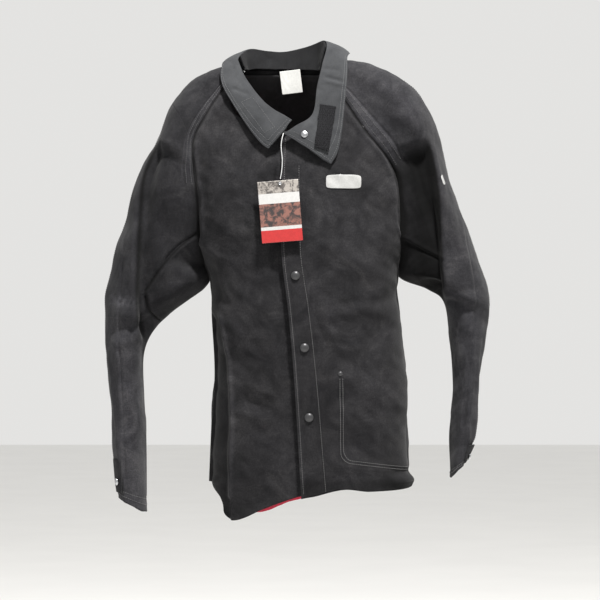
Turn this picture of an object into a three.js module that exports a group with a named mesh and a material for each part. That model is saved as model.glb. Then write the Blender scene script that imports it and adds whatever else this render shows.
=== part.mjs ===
// Leather welding jacket, hanging closed: suede leather shell, twill collar, red lining, snap front.
// Millimetres, +Z up. The origin is the middle of the back neck seam. The front faces -Y and the
// wearer's left side is +X. Every panel is a thin closed sheet cut from one of four surfaces:
// the trunk, a sleeve on each side, and the collar.
import * as THREE from 'three';

// Material thicknesses and the spaces kept between pieces.
const HIDE = 2.2;
const TWILL = 2.6;
const SATIN = 0.8;
const SEAM = 1.6;
const LAYER_GAP = 0.4;
// Degrees left open on each side of a side seam.
const SIDE_SEAM_ANGLE = 1.6;

// Trunk: how far below the neck seam, left and right sides, front and back.
const TRUNK = [
  [0, -150, 140, -48, 2],
  [30, -168, 156, -73, 20],
  [60, -183, 172, -92, 36],
  [120, -200, 203, -112, 58],
  [200, -199, 215, -130, 74],
  [300, -176, 208, -138, 84],
  [382, -144.5, 191.5, -141, 87],
  [450, -141, 198, -142, 88],
  [550, -136, 208, -141, 88],
  [650, -142, 211, -140, 89],
  [815, -149, 222, -138, 90],
];
const TRUNK_ROUNDNESS = 2.4;

// Sleeves: station, front seam x z, outer edge x z, back seam x z, half depth, middle y.
// Up to the armpit the front and back seams are the raglan seams; past it they are the underarm.
const ARMPIT = 8;
const SHOULDER = 3;
const ELBOW = 10;
const CUFF = 14;
const RIGHT_SLEEVE = [
  [0, -92, -4, -96, 9, -80, -2, 20, -26],
  [1, -119, -40, -135, -3, -104, -35, 38, -26],
  [2, -150, -88, -180, -25, -128, -85, 54, -24],
  [3, -173, -135, -209, -65, -146, -135, 68, -22],
  [4, -172, -190, -242, -135, -154, -190, 78, -22],
  [5, -164, -240, -266, -180, -156, -240, 82, -22],
  [6, -160, -300, -290, -248, -154, -300, 83, -22],
  [7, -153, -352, -312, -328, -150, -352, 81, -23],
  [8, -147, -388, -330, -394, -147, -388, 76, -25],
  [9, -214, -441, -332, -436, -214, -441, 66, -27],
  [10, -245, -472, -330, -480, -245, -472, 60, -28],
  [11, -263, -517, -327, -530, -263, -517, 55, -30],
  [12, -262, -590, -322, -600, -262, -590, 50, -33],
  [13, -258, -670, -317, -680, -258, -670, 47, -36],
  [14, -257, -798, -309, -771, -257, -798, 44, -38],
];
const LEFT_SLEEVE = [
  [0, 62, -6, 68, 15, 64, -2, 20, -28],
  [1, 84, -42, 118, 12, 92, -36, 38, -28],
  [2, 108, -78, 158, 4, 120, -80, 54, -26],
  [3, 138, -121, 205, -22, 146, -125, 68, -24],
  [4, 170, -162, 245, -65, 166, -168, 78, -23],
  [5, 190, -202, 268, -123, 180, -210, 82, -22],
  [6, 196, -258, 287, -198, 188, -262, 83, -22],
  [7, 195, -318, 318, -285, 192, -320, 81, -23],
  [8, 194, -374, 350, -371, 194, -374, 76, -25],
  [9, 248, -399, 359, -413, 248, -399, 66, -27],
  [10, 278, -425, 355, -457, 278, -425, 60, -28],
  [11, 289, -505, 347, -522, 289, -505, 55, -30],
  [12, 293, -590, 338, -596, 293, -590, 50, -33],
  [13, 286, -660, 333, -662, 286, -660, 46, -36],
  [14, 289, -737, 311, -708, 289, -737, 42, -38],
];
// Where the widest front and back of a sleeve lie between the seam and the outer edge.
const SLEEVE_CROWN = 0.58;

// Front edge of the left front, which laps over the right: drop, x.
const FRONT_EDGE = [
  [100, -12],
  [328, -15],
  [437, -3],
  [552, 7],
  [800, 22],
];
const LAP = 36;
const LAP_DEPTH = 9.8;
const FACING_WIDTH = 40;
const FACING = 1.8;
// Where the right front starts and stops stepping back under the lap, before the lap edge.
const LAP_STEP_START = 36;
const LAP_STEP_END = 5;

// Depths of the loose layers behind the hide's outer face.
const FRONT_LINING_DEPTH = 7;
const BACK_LINING_DEPTH = 6;
const POCKET_DEPTH = 11;
const POCKET_THICKNESS = 1.4;
const PAD_THICKNESS = 1.6;
const HOOK_THICKNESS = 1.4;

// The lines where the fronts fold when the jacket is opened: drop, x.
const LEFT_FOLD = [[0, 74], [800, 147]];
const RIGHT_FOLD = [[0, -94], [700, -97], [815, -108]];
const FOLD_GAP = 3.6;
// Share of a front's width left without lining beside its fold, so that the lining clears it.
const LEFT_LINING_START = 0.19;
const RIGHT_LINING_START = 0.13;

// Neckline and hem of each front, from the fold (0) to the front edge (1): share, drop.
const LEFT_NECKLINE = [[0, 9], [0.15, 54], [0.4, 102], [1, 128]];
const RIGHT_NECKLINE = [[0, 6], [0.15, 42], [0.4, 86], [0.7, 106], [1, 124]];
const LEFT_HEM = [[0, 757], [0.5, 753], [1, 769]];
const RIGHT_HEM = [[0, 803], [0.1, 810], [0.45, 793], [0.75, 777], [1, 760]];
const SIDE_HEM_LEFT = [[0, 752], [1, 757]];
const SIDE_HEM_RIGHT = [[0, 744], [1, 776]];
const BACK_HEM = [[0, 744], [0.5, 764], [1, 750]];
const LINING_HEM = [[0, 738], [0.3, 768], [0.55, 776], [0.8, 768], [1, 744]];

// Collar: the crest line and the free edge, right front to left front, as x y z.
const CREST = [
  [4, -117, -100], [-8, -114, -92], [-44, -101, -68], [-76, -78, -26], [-90, -56, 4], [-92, -34, 20],
  [-74, -2, 36], [-40, 12, 33], [-8, 16, 32], [35, 10, 42], [60, -8, 50],
  [66, -34, 38], [58, -58, 4], [49, -82, -35], [40, -105, -88], [8, -123, -112], [-11, -126, -124],
];
const FREE_EDGE = [
  [-38, -127, -151], [-52, -124, -140], [-74, -115, -112], [-106, -96, -62], [-121, -80, -32],
  [-122, -58, 0], [-113, -12, 14], [-86, 28, 0], [-8, 36, -20], [76, 28, 8], [106, -14, 26],
  [103, -56, 16], [102, -82, -20], [99, -97, -56], [92, -117, -120], [84, -126, -158], [73, -131, -178],
];
// The stretches of the crest that belong to the right leaf, the back and the left leaf.
const RIGHT_LEAF_END = 5 / 16;
const LEFT_LEAF_START = 11 / 16;
// Neck seam at the foot of the stand, from the right side round the back to the left side.
const NECK_SEAM = [
  [-83, -36, -3], [-68, -9, 2], [-8, 1, 2], [50, -8, 2], [56, -36, -1],
];

// Hook-and-loop pads on the leaves: corners as x z.
const LOOP_PAD = [[54, -71], [82, -76], [43, -148], [68, -156]];
const HOOK_PAD = [[-78, -64], [-60, -74], [-60, -112], [-34, -108]];

const NECK_SNAP = { x: 26, z: -126, diameter: 12.5 };
const FRONT_SNAPS = [[0, -250], [10, -375], [26, -502], [34, -625]];
const CAP_DIAMETER = 15.5;
const SOCKET_HEIGHT = 1.6;
const RIVET = { x: 89, z: -548, diameter: 8 };
const TAG = { x: -17, top: -208, width: 72, height: 108, thickness: 0.7, turn: -0.08, y: -147 };
const STRING_DIAMETER = 1.6;
const STRING_ROUTE = [
  [-11, -136, -124], [-13.5, -139.5, -133], [-15.2, -141.5, -145], [-14.6, -142.8, -157],
  [-13.4, -143.8, -169], [-13.4, -144.8, -181], [-14.6, -145.8, -193], [-16.6, -146.6, -205],
];
const LABEL = { x: 2, top: -3, width: 37, height: 42, thickness: 0.8, y: -9, turn: -0.12 };
const CUFF_SNAP_AT = 13.66;
const TAB_LIFT = 2.9;
const POCKET = { inner: 92, outer: 196, top: 548, bottom: 724 };

const hideMaterial = (tone) => new THREE.MeshStandardMaterial({ color: tone, roughness: 0.95 });
const MATERIALS = {
  hide: hideMaterial(0x242424),
  twill: new THREE.MeshStandardMaterial({ color: 0x4a4d50, roughness: 0.9 }),
  satin: new THREE.MeshStandardMaterial({ color: 0xa01626, roughness: 0.7 }),
  loop: new THREE.MeshStandardMaterial({ color: 0x141414, roughness: 1 }),
  blackMetal: new THREE.MeshStandardMaterial({ color: 0x17181a, roughness: 0.35, metalness: 0.6 }),
  steel: new THREE.MeshStandardMaterial({ color: 0xb9bcc0, roughness: 0.3, metalness: 1 }),
  card: new THREE.MeshStandardMaterial({ color: 0xd8d2c8, roughness: 0.6 }),
  string: new THREE.MeshStandardMaterial({ color: 0xc9c9c9, roughness: 0.9 }),
  label: new THREE.MeshStandardMaterial({ color: 0xeeeeea, roughness: 0.8 }),
};

const group = new THREE.Group();

function add(name, geometry, material) {
  const mesh = new THREE.Mesh(geometry, MATERIALS[material]);
  mesh.name = name;
  group.add(mesh);
  return mesh;
}

const mix = (a, b, w) => a + (b - a) * w;
const clamp = (value, low, high) => Math.min(Math.max(value, low), high);

function smooth(low, high, value) {
  const w = clamp((value - low) / (high - low), 0, 1);
  return w * w * (3 - 2 * w);
}

// A smooth curve through rows of [place, value, value...]: gives the values at any place.
function track(rows) {
  const last = rows.length - 1;
  const slope = (i, k) => {
    const before = rows[Math.max(i - 1, 0)];
    const after = rows[Math.min(i + 1, last)];
    return (after[k] - before[k]) / (after[0] - before[0]);
  };
  return (place) => {
    const at = clamp(place, rows[0][0], rows[last][0]);
    let i = 0;
    while (i < last - 1 && at > rows[i + 1][0]) i += 1;
    const span = rows[i + 1][0] - rows[i][0];
    const s = (at - rows[i][0]) / span;
    return rows[i].slice(1).map((value, j) => {
      const k = j + 1;
      const rise = rows[i + 1][k] - value;
      const a = slope(i, k) * span - rise;
      const b = rise - slope(i + 1, k) * span;
      return value + rise * s + s * (1 - s) * (a * (1 - s) + b * s);
    });
  };
}

const value = (rows) => {
  const curve = track(rows);
  return (place) => curve(place)[0];
};

function pointTrack(points) {
  return track(points.map((point, i) => [i / (points.length - 1), ...point]));
}

// A closed sheet between two depths below surface(u, v), each depth measured along the normal.
// "inside" is a point on the side that the depths go towards.
function sheet(surface, columns, rows, near, far, inside) {
  const step = 1e-3;
  const place = (u, v) => new THREE.Vector3(...surface(u, v));
  const normalAt = (u, v) => {
    const uLow = clamp(u - step, 0, 1 - 2 * step);
    const vLow = clamp(v - step, 0, 1 - 2 * step);
    const along = place(uLow + 2 * step, v).sub(place(uLow, v));
    const across = place(u, vLow + 2 * step).sub(place(u, vLow));
    return along.cross(across).normalize();
  };
  const toInside = new THREE.Vector3(...inside).sub(place(0.5, 0.5));
  const sign = Math.sign(normalAt(0.5, 0.5).dot(toInside));
  const positions = [];
  for (const depth of [near, far]) {
    for (let j = 0; j <= rows; j += 1) {
      for (let i = 0; i <= columns; i += 1) {
        const u = i / columns;
        const v = j / rows;
        const point = place(u, v).addScaledVector(normalAt(u, v), sign * depth);
        positions.push(point.x, point.y, point.z);
      }
    }
  }
  const wide = columns + 1;
  const layer = wide * (rows + 1);
  const faces = [];
  const quad = (a, b, c, d) => faces.push(a, b, c, a, c, d);
  for (let j = 0; j < rows; j += 1) {
    for (let i = 0; i < columns; i += 1) {
      const a = j * wide + i;
      quad(a, a + 1, a + 1 + wide, a + wide);
      quad(layer + a, layer + a + wide, layer + a + 1 + wide, layer + a + 1);
    }
  }
  for (let i = 0; i < columns; i += 1) {
    const end = rows * wide + i;
    quad(i + 1, i, layer + i, layer + i + 1);
    quad(end, end + 1, layer + end + 1, layer + end);
  }
  for (let j = 0; j < rows; j += 1) {
    const start = j * wide;
    const end = start + columns;
    quad(start, start + wide, layer + start + wide, layer + start);
    quad(end + wide, end, layer + end, layer + end + wide);
  }
  return closedGeometry(positions, faces);
}

// Turns the faces the right way out by the sign of the enclosed volume.
function closedGeometry(positions, faces) {
  const corner = (k) => new THREE.Vector3().fromArray(positions, faces[k] * 3);
  let volume = 0;
  for (let k = 0; k < faces.length; k += 3) {
    volume += corner(k).dot(corner(k + 1).cross(corner(k + 2)));
  }
  if (volume < 0) faces.reverse();
  const geometry = new THREE.BufferGeometry();
  geometry.setAttribute('position', new THREE.Float32BufferAttribute(positions, 3));
  geometry.setIndex(faces);
  geometry.computeVertexNormals();
  return geometry;
}

// ---- Trunk ----------------------------------------------------------------------------------

const trunkAt = track(TRUNK);

function trunkSection(drop) {
  const [left, right, front, back] = trunkAt(drop);
  return {
    middleX: (left + right) / 2,
    halfWidth: (right - left) / 2,
    middleY: (front + back) / 2,
    halfDepth: (back - front) / 2,
  };
}

// Degrees round the trunk: -90 is the wearer's right side, 0 the front, 90 the left, 180 the back.
function trunkPoint(angle, drop) {
  const { middleX, halfWidth, middleY, halfDepth } = trunkSection(drop);
  const power = 2 / TRUNK_ROUNDNESS;
  const sine = Math.sin(THREE.MathUtils.degToRad(angle));
  const cosine = Math.cos(THREE.MathUtils.degToRad(angle));
  const x = middleX + halfWidth * Math.sign(sine) * Math.abs(sine) ** power;
  const y = middleY - halfDepth * Math.sign(cosine) * Math.abs(cosine) ** power;
  return [x, y, -drop];
}

function frontAngle(x, drop) {
  const { middleX, halfWidth } = trunkSection(drop);
  const share = clamp((x - middleX) / halfWidth, -1, 1);
  const sine = Math.sign(share) * Math.abs(share) ** (TRUNK_ROUNDNESS / 2);
  return THREE.MathUtils.radToDeg(Math.asin(sine));
}

function trunkY(x, drop, atBack = false) {
  const angle = frontAngle(x, drop);
  return trunkPoint(atBack ? 180 - angle : angle, drop)[1];
}

// ---- Sleeves --------------------------------------------------------------------------------

const hermite = (a, b, ta, tb, s) => {
  const s2 = s * s;
  const s3 = s2 * s;
  return a.clone().multiplyScalar(2 * s3 - 3 * s2 + 1)
    .addScaledVector(ta, s3 - 2 * s2 + s)
    .addScaledVector(b, 3 * s2 - 2 * s3)
    .addScaledVector(tb, s3 - s2);
};

// A quarter round has end slopes of this times its radius.
const QUARTER = 1.657;

// around: 0 at the front seam, 0.5 at the outer edge, 1 at the back seam.
function sleeveSurface(rows) {
  const stations = track(rows);
  return (t, around) => {
    const [frontX, frontZ, outerX, outerZ, backX, backZ, halfDepth, middleY] = stations(t);
    const closed = smooth(ARMPIT - 1.2, ARMPIT, t);
    const frontY = mix(trunkY(frontX, -frontZ), middleY, closed);
    const backY = mix(trunkY(backX, -backZ, true), middleY, closed);
    const front = new THREE.Vector3(frontX, frontY, frontZ);
    const back = new THREE.Vector3(backX, backY, backZ);
    const outer = new THREE.Vector3(outerX, middleY, outerZ);
    const atFront = around < 0.5;
    const seam = atFront ? front : back;
    const side = atFront ? -1 : 1;
    const crown = new THREE.Vector3(
      mix(seam.x, outerX, SLEEVE_CROWN),
      middleY + side * halfDepth,
      mix(seam.z, outerZ, SLEEVE_CROWN),
    );
    const outward = new THREE.Vector3(outerX - seam.x, 0, outerZ - seam.z);
    const share = atFront ? around * 4 : (1 - around) * 4;
    if (share <= 1) {
      const rounded = new THREE.Vector3(0, side * QUARTER * halfDepth, 0);
      const leave = crown.clone().sub(seam).lerp(rounded, closed);
      const arrive = outward.clone().multiplyScalar(QUARTER * SLEEVE_CROWN);
      return hermite(seam, crown, leave, arrive, share).toArray();
    }
    const leave = outward.clone().multiplyScalar(QUARTER * (1 - SLEEVE_CROWN));
    const arrive = new THREE.Vector3(0, -side * QUARTER * halfDepth, 0);
    return hermite(crown, outer, leave, arrive, share - 1).toArray();
  };
}

const SIDES = {
  right: { sign: -1, rows: RIGHT_SLEEVE, fold: value(RIGHT_FOLD) },
  left: { sign: 1, rows: LEFT_SLEEVE, fold: value(LEFT_FOLD) },
};
for (const side of Object.values(SIDES)) {
  const seams = side.rows.slice(0, ARMPIT + 1);
  side.sleeve = sleeveSurface(side.rows);
  side.frontSeam = value(seams.map((row) => [-row[2], row[1]]));
  side.backSeam = value(seams.map((row) => [-row[6], row[5]]));
  side.armpitDrop = -side.rows[ARMPIT][2];
}

// Angle of the outer edge of the front (or back) of the trunk: the raglan seam, then the side.
function edgeAngle(side, drop, atBack) {
  const toBack = atBack ? 1 : -1;
  if (drop >= side.armpitDrop) return side.sign * (90 + toBack * SIDE_SEAM_ANGLE);
  const seam = atBack ? side.backSeam : side.frontSeam;
  const angle = frontAngle(seam(drop) - side.sign * SEAM, drop);
  const clear = side.sign * Math.min(Math.abs(angle), 90 - SIDE_SEAM_ANGLE);
  return atBack ? side.sign * 180 - clear : clear;
}

// ---- Trunk panels ---------------------------------------------------------------------------

const frontEdge = value(FRONT_EDGE);
const INSIDE = [20, -25, -400];

function addSidePanel(name, side, top, hemRows) {
  const hem = value(hemRows);
  const surface = (u, v) => {
    const drop = mix(top, hem(u), v);
    const inner = frontAngle(side.fold(drop) + side.sign * FOLD_GAP / 2, drop);
    return trunkPoint(mix(edgeAngle(side, drop, false), inner, u), drop);
  };
  add(name, sheet(surface, 6, 20, 0, HIDE, INSIDE), 'hide');
}

// The right front steps back under the lap of the left one.
function lapStep(x, drop) {
  const edge = frontEdge(drop);
  return LAP_DEPTH * smooth(edge - LAP_STEP_START, edge - LAP_STEP_END, x);
}

function frontSurface(side, options) {
  const neckline = value(options.neckline);
  const hem = value(options.hem);
  return (u, v) => {
    const share = mix(options.from ?? 0, options.to ?? 1, u);
    const top = neckline(share) + (options.topInset ?? 0);
    const drop = mix(top, hem(share) - (options.hemInset ?? 0), v);
    const fold = frontAngle(side.fold(drop) - side.sign * FOLD_GAP / 2, drop);
    const seam = edgeAngle(side, drop, false);
    const outer = side.sign > 0 ? Math.min(fold, seam) : Math.max(fold, seam);
    const innerX = frontEdge(drop) + (side.sign > 0 ? 0 : LAP);
    const [x, y, z] = trunkPoint(mix(outer, frontAngle(innerX, drop), share), drop);
    return [x, side.sign > 0 ? y : y + lapStep(x, drop), z];
  };
}

// Strip of the front between two distances from the lap edge.
function edgeStrip(side, first, second, top, bottom) {
  return (u, v) => {
    const drop = mix(top, bottom, v);
    const x = frontEdge(drop) + mix(first, second, u);
    return [x, trunkY(x, drop) + (side.sign > 0 ? 0 : lapStep(x, drop)), -drop];
  };
}

function addFronts() {
  const { left, right } = SIDES;
  const leftShape = { neckline: LEFT_NECKLINE, hem: LEFT_HEM };
  const rightShape = { neckline: RIGHT_NECKLINE, hem: RIGHT_HEM };
  add('left_front_panel', sheet(frontSurface(left, leftShape), 10, 20, 0, HIDE, INSIDE), 'hide');
  add('right_front_panel', sheet(frontSurface(right, rightShape), 12, 20, 0, HIDE, INSIDE), 'hide');
  const facing = HIDE + LAYER_GAP;
  const facingBack = facing + FACING;
  const leftStrip = edgeStrip(left, 3, FACING_WIDTH, 135, 752);
  const rightStrip = edgeStrip(right, LAP - FACING_WIDTH, LAP - 2, 132, 750);
  add('left_front_facing', sheet(leftStrip, 2, 14, facing, facingBack, INSIDE), 'hide');
  add('right_front_facing', sheet(rightStrip, 2, 14, facing, facingBack, INSIDE), 'hide');
  const near = FRONT_LINING_DEPTH;
  const far = FRONT_LINING_DEPTH + SATIN;
  const leftLining = { ...leftShape, from: LEFT_LINING_START, to: 0.55, topInset: 12, hemInset: 6 };
  const rightLining = { ...rightShape, from: RIGHT_LINING_START, to: 0.86, topInset: 10, hemInset: 4 };
  add('left_front_lining', sheet(frontSurface(left, leftLining), 5, 12, near, far, INSIDE), 'satin');
  add('right_front_lining', sheet(frontSurface(right, rightLining), 7, 12, near, far, INSIDE), 'satin');
}

function backSurface(options) {
  const hem = value(options.hem);
  const top = options.top;
  return (u, v) => {
    const drop = mix(top, hem(u), v);
    const first = 360 + edgeAngle(SIDES.right, drop, true);
    const second = edgeAngle(SIDES.left, drop, true);
    return trunkPoint(mix(first, second, mix(options.margin, 1 - options.margin, u)), drop);
  };
}

function addBack() {
  const panel = backSurface({ hem: BACK_HEM, top: 2, margin: 0 });
  add('back_panel', sheet(panel, 20, 20, 0, HIDE, INSIDE), 'hide');
  const lining = backSurface({ hem: LINING_HEM, top: 8, margin: 0.02 });
  const near = BACK_LINING_DEPTH;
  add('back_lining', sheet(lining, 14, 14, near, near + SATIN, INSIDE), 'satin');
}

function addPocket() {
  const surface = (u, v) => {
    const drop = mix(POCKET.top, POCKET.bottom, v);
    const x = mix(POCKET.inner, POCKET.outer, u);
    return [x, trunkY(x, drop), -drop];
  };
  const far = POCKET_DEPTH + POCKET_THICKNESS;
  add('left_inner_pocket', sheet(surface, 6, 5, POCKET_DEPTH, far, INSIDE), 'satin');
}

// ---- Sleeve panels --------------------------------------------------------------------------

function addSleevePiece(name, side, t0, t1, around0, around1, columns, rows) {
  const surface = (u, v) => side.sleeve(mix(t0, t1, v), mix(around0, around1, u));
  const middle = side.sleeve((t0 + t1) / 2, 0.5);
  const inner = side.sleeve((t0 + t1) / 2, 0);
  const inside = [(middle[0] + inner[0]) / 2, middle[1], (middle[2] + inner[2]) / 2];
  add(name, sheet(surface, columns, rows, 0, HIDE, inside), 'hide');
}

function addSleeve(label, side) {
  const edge = 0.016;
  const seam = 0.004;
  const parts = [
    ['raglan', 0.1, SHOULDER - 0.02, 5],
    ['upper_sleeve', SHOULDER + 0.02, ELBOW - 0.03, 14],
    ['lower_sleeve', ELBOW + 0.03, CUFF, 9],
  ];
  for (const [part, t0, t1, rows] of parts) {
    addSleevePiece(`${label}_${part}_front`, side, t0, t1, edge, 0.5 - seam, 8, rows);
    addSleevePiece(`${label}_${part}_back`, side, t0, t1, 0.5 + seam, 1 - edge, 8, rows);
  }
}

// ---- Collar ---------------------------------------------------------------------------------

const crest = pointTrack(CREST);
const freeEdge = pointTrack(FREE_EDGE);
const neckSeam = pointTrack(NECK_SEAM);

// The fall of the collar: along from the right tip (0) to the left tip (1), down from crest to edge.
function collarFall(along, down) {
  const a = crest(along);
  const b = freeEdge(along);
  const belly = 5 * Math.sin(Math.PI * down);
  const middle = [-10, -30, 0];
  const away = [a[0] - middle[0], a[1] - middle[1], 30];
  const size = Math.hypot(...away);
  return a.map((from, i) => mix(from, b[i], down) + (away[i] / size) * belly);
}

function addCollar() {
  const inside = [-10, -30, -40];
  const gap = 0.004;
  const fall = (from, to) => (u, v) => collarFall(mix(from, to, u), v);
  const rightLeaf = fall(0, RIGHT_LEAF_END - gap);
  const back = fall(RIGHT_LEAF_END + gap, LEFT_LEAF_START - gap);
  const leftLeaf = fall(LEFT_LEAF_START + gap, 1);
  add('right_collar_leaf', sheet(rightLeaf, 12, 4, 0, TWILL, [-60, -40, -100]), 'twill');
  add('collar_back', sheet(back, 16, 4, 0, TWILL, inside), 'twill');
  add('left_collar_leaf', sheet(leftLeaf, 12, 4, 0, TWILL, [60, -40, -120]), 'twill');
  const stand = (u, v) => {
    const foot = neckSeam(u);
    const top = crest(mix(RIGHT_LEAF_END, LEFT_LEAF_START, u));
    const share = mix(0, 0.86, v);
    return foot.map((from, i) => mix(from, top[i], share));
  };
  add('collar_stand', sheet(stand, 16, 3, 1, 1 + TWILL, [-10, -30, 10]), 'twill');
}

// The place on the fall that stands at a given x and z, found by Newton's method from a first guess.
function fallPointAt(x, z, guess) {
  let [along, down] = guess;
  const step = 1e-4;
  for (let round = 0; round < 12; round += 1) {
    const here = collarFall(along, down);
    const next = collarFall(along + step, down);
    const below = collarFall(along, down + step);
    const [ax, az] = [(next[0] - here[0]) / step, (next[2] - here[2]) / step];
    const [dx, dz] = [(below[0] - here[0]) / step, (below[2] - here[2]) / step];
    const size = ax * dz - az * dx;
    const [missX, missZ] = [x - here[0], z - here[2]];
    along = clamp(along + (missX * dz - missZ * dx) / size, 0, 1);
    down = clamp(down + (missZ * ax - missX * az) / size, 0, 1);
  }
  return collarFall(along, down);
}

// A four-cornered pad laid on the fall: corners as x z, two at the top and two at the bottom.
function fallPad([topLeft, topRight, bottomLeft, bottomRight], guess) {
  return (u, v) => {
    const x = mix(mix(topLeft[0], topRight[0], u), mix(bottomLeft[0], bottomRight[0], u), v);
    const z = mix(mix(topLeft[1], topRight[1], u), mix(bottomLeft[1], bottomRight[1], u), v);
    return fallPointAt(x, z, guess);
  };
}

function addCollarPads() {
  const over = -LAYER_GAP - 0.4;
  const under = TWILL + LAYER_GAP;
  const loop = fallPad(LOOP_PAD, [0.92, 0.5]);
  add('collar_loop_pad', sheet(loop, 3, 6, over, over - PAD_THICKNESS, [60, -40, -120]), 'loop');
  const hook = fallPad(HOOK_PAD, [0.1, 0.5]);
  add('collar_hook_pad', sheet(hook, 3, 5, under, under + HOOK_THICKNESS, [-60, -40, -100]), 'loop');
}

// ---- Fasteners and trim ---------------------------------------------------------------------

function lathe(profile) {
  const points = profile.map(([radius, height]) => new THREE.Vector2(radius, height));
  return new THREE.LatheGeometry(points, 14);
}

// Turned pieces are drawn along +Y; this sets that axis along a direction at a place.
function placeTurned(mesh, place, direction) {
  const towards = new THREE.Vector3(...direction).normalize();
  mesh.quaternion.setFromUnitVectors(new THREE.Vector3(0, 1, 0), towards);
  mesh.position.set(...place);
}

function domeProfile(diameter, height) {
  const radius = diameter / 2;
  return [[0, 0], [radius * 0.94, 0], [radius, height * 0.3], [radius * 0.82, height * 0.78],
    [radius * 0.45, height * 0.97], [0, height]];
}

function ringProfile(diameter, hole, height) {
  return [[hole / 2, 0], [diameter / 2, 0], [diameter / 2, height], [hole / 2, height], [hole / 2, 0]];
}

function frontNormal(x, drop) {
  const step = 2;
  const slopeX = (trunkY(x + step, drop) - trunkY(x - step, drop)) / (2 * step);
  const slopeZ = (trunkY(x, drop - step) - trunkY(x, drop + step)) / (2 * step);
  return new THREE.Vector3(slopeX, -1, slopeZ).normalize();
}

// A piece standing "out" millimetres in front of the left front's outer face.
function onFront(name, profile, x, z, out, material) {
  const normal = frontNormal(x, -z);
  const place = new THREE.Vector3(x, trunkY(x, -z), z).addScaledVector(normal, out);
  placeTurned(add(name, lathe(profile), material), place.toArray(), normal.toArray());
}

function addFrontSnaps() {
  FRONT_SNAPS.forEach(([x, z], i) => {
    const number = i + 1;
    onFront(`front_snap_cap_${number}`, domeProfile(CAP_DIAMETER, 3.8), x, z, LAYER_GAP, 'blackMetal');
    const socketOut = -(HIDE + FACING + 3 * LAYER_GAP + SOCKET_HEIGHT);
    onFront(`front_snap_socket_${number}`, ringProfile(11, 5, SOCKET_HEIGHT), x, z, socketOut, 'steel');
    const studOut = -(LAP_DEPTH - LAYER_GAP);
    onFront(`front_snap_stud_${number}`, domeProfile(9, 1.5), x, z, studOut, 'steel');
  });
  onFront('pocket_rivet', domeProfile(RIVET.diameter, 2), RIVET.x, RIVET.z, LAYER_GAP, 'blackMetal');
}

// The collar's own snap sits on the left leaf, above its front edge.
function addNeckSnap() {
  const guess = [0.97, 0.3];
  const place = new THREE.Vector3(...fallPointAt(NECK_SNAP.x, NECK_SNAP.z, guess));
  const beside = new THREE.Vector3(...fallPointAt(NECK_SNAP.x + 3, NECK_SNAP.z, guess)).sub(place);
  const above = new THREE.Vector3(...fallPointAt(NECK_SNAP.x, NECK_SNAP.z + 3, guess)).sub(place);
  const normal = beside.cross(above).normalize();
  if (normal.y > 0) normal.negate();
  const cap = add('neck_snap_cap', lathe(domeProfile(NECK_SNAP.diameter, 3)), 'steel');
  placeTurned(cap, place.addScaledVector(normal, 1).toArray(), normal.toArray());
}

function addCuffTab(label, side, around, inside) {
  const surface = (u, v) => side.sleeve(mix(13.25, 13.86, v), mix(around - 0.055, around + 0.055, u));
  add(`${label}_cuff_tab`, sheet(surface, 3, 4, -TAB_LIFT, -TAB_LIFT - HIDE, inside), 'hide');
  const at = (out) => {
    const place = new THREE.Vector3(...side.sleeve(CUFF_SNAP_AT, around));
    const down = new THREE.Vector3(...side.sleeve(CUFF_SNAP_AT + 0.05, around)).sub(place);
    const across = new THREE.Vector3(...side.sleeve(CUFF_SNAP_AT, around + 0.01)).sub(place);
    const normal = down.cross(across).normalize();
    if (normal.dot(new THREE.Vector3(...inside).sub(place)) > 0) normal.negate();
    return { place: place.addScaledVector(normal, out).toArray(), normal: normal.toArray() };
  };
  const cap = at(TAB_LIFT + HIDE + 1);
  placeTurned(add(`${label}_cuff_snap_cap`, lathe(domeProfile(13, 3)), 'steel'), cap.place, cap.normal);
  const stud = at(0.9);
  placeTurned(add(`${label}_cuff_snap_stud`, lathe(domeProfile(7, 1.3)), 'steel'), stud.place, stud.normal);
}

function addTag() {
  const card = add('hang_tag_card', new THREE.BoxGeometry(TAG.width, TAG.thickness, TAG.height), 'card');
  card.position.set(TAG.x, TAG.y - STRING_DIAMETER, TAG.top - TAG.height / 2);
  card.rotation.y = TAG.turn;
  const route = new THREE.CatmullRomCurve3(STRING_ROUTE.map((point) => new THREE.Vector3(...point)));
  const section = new THREE.Shape();
  section.absarc(0, 0, STRING_DIAMETER / 2, 0, 2 * Math.PI);
  const settings = { steps: 20, bevelEnabled: false, curveSegments: 4, extrudePath: route };
  add('hang_tag_string', new THREE.ExtrudeGeometry(section, settings), 'string');
}

function addLabel() {
  const ribbon = new THREE.BoxGeometry(LABEL.width, LABEL.thickness, LABEL.height);
  const label = add('neck_label', ribbon, 'label');
  label.rotation.y = LABEL.turn;
  label.position.set(LABEL.x, LABEL.y, LABEL.top - LABEL.height / 2);
}

// ---- Assembly -------------------------------------------------------------------------------

addBack();
addSidePanel('left_side_panel', SIDES.left, 50, SIDE_HEM_LEFT);
addSidePanel('right_side_panel', SIDES.right, 32, SIDE_HEM_RIGHT);
addFronts();
addPocket();
addSleeve('left', SIDES.left);
addSleeve('right', SIDES.right);
addCollar();
addCollarPads();
addFrontSnaps();
addNeckSnap();
addCuffTab('left', SIDES.left, 0.36, [305, -36, -690]);
addCuffTab('right', SIDES.right, 0.36, [-284, -36, -740]);
addTag();
addLabel();

export default group;
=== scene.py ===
"""Looks of the leather welding jacket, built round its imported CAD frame.

The shapes are in millimetres in the model's frame (+Z up, front towards -Y, +X the wearer's left) and
their meshes are made in metres; the camera, lamps and floor are given in metres. Each hide panel is a
fine closed shell over the same surface as its CAD solid, with folds and seams added along the normal
and stitches laid on top.
"""

import math

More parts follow.
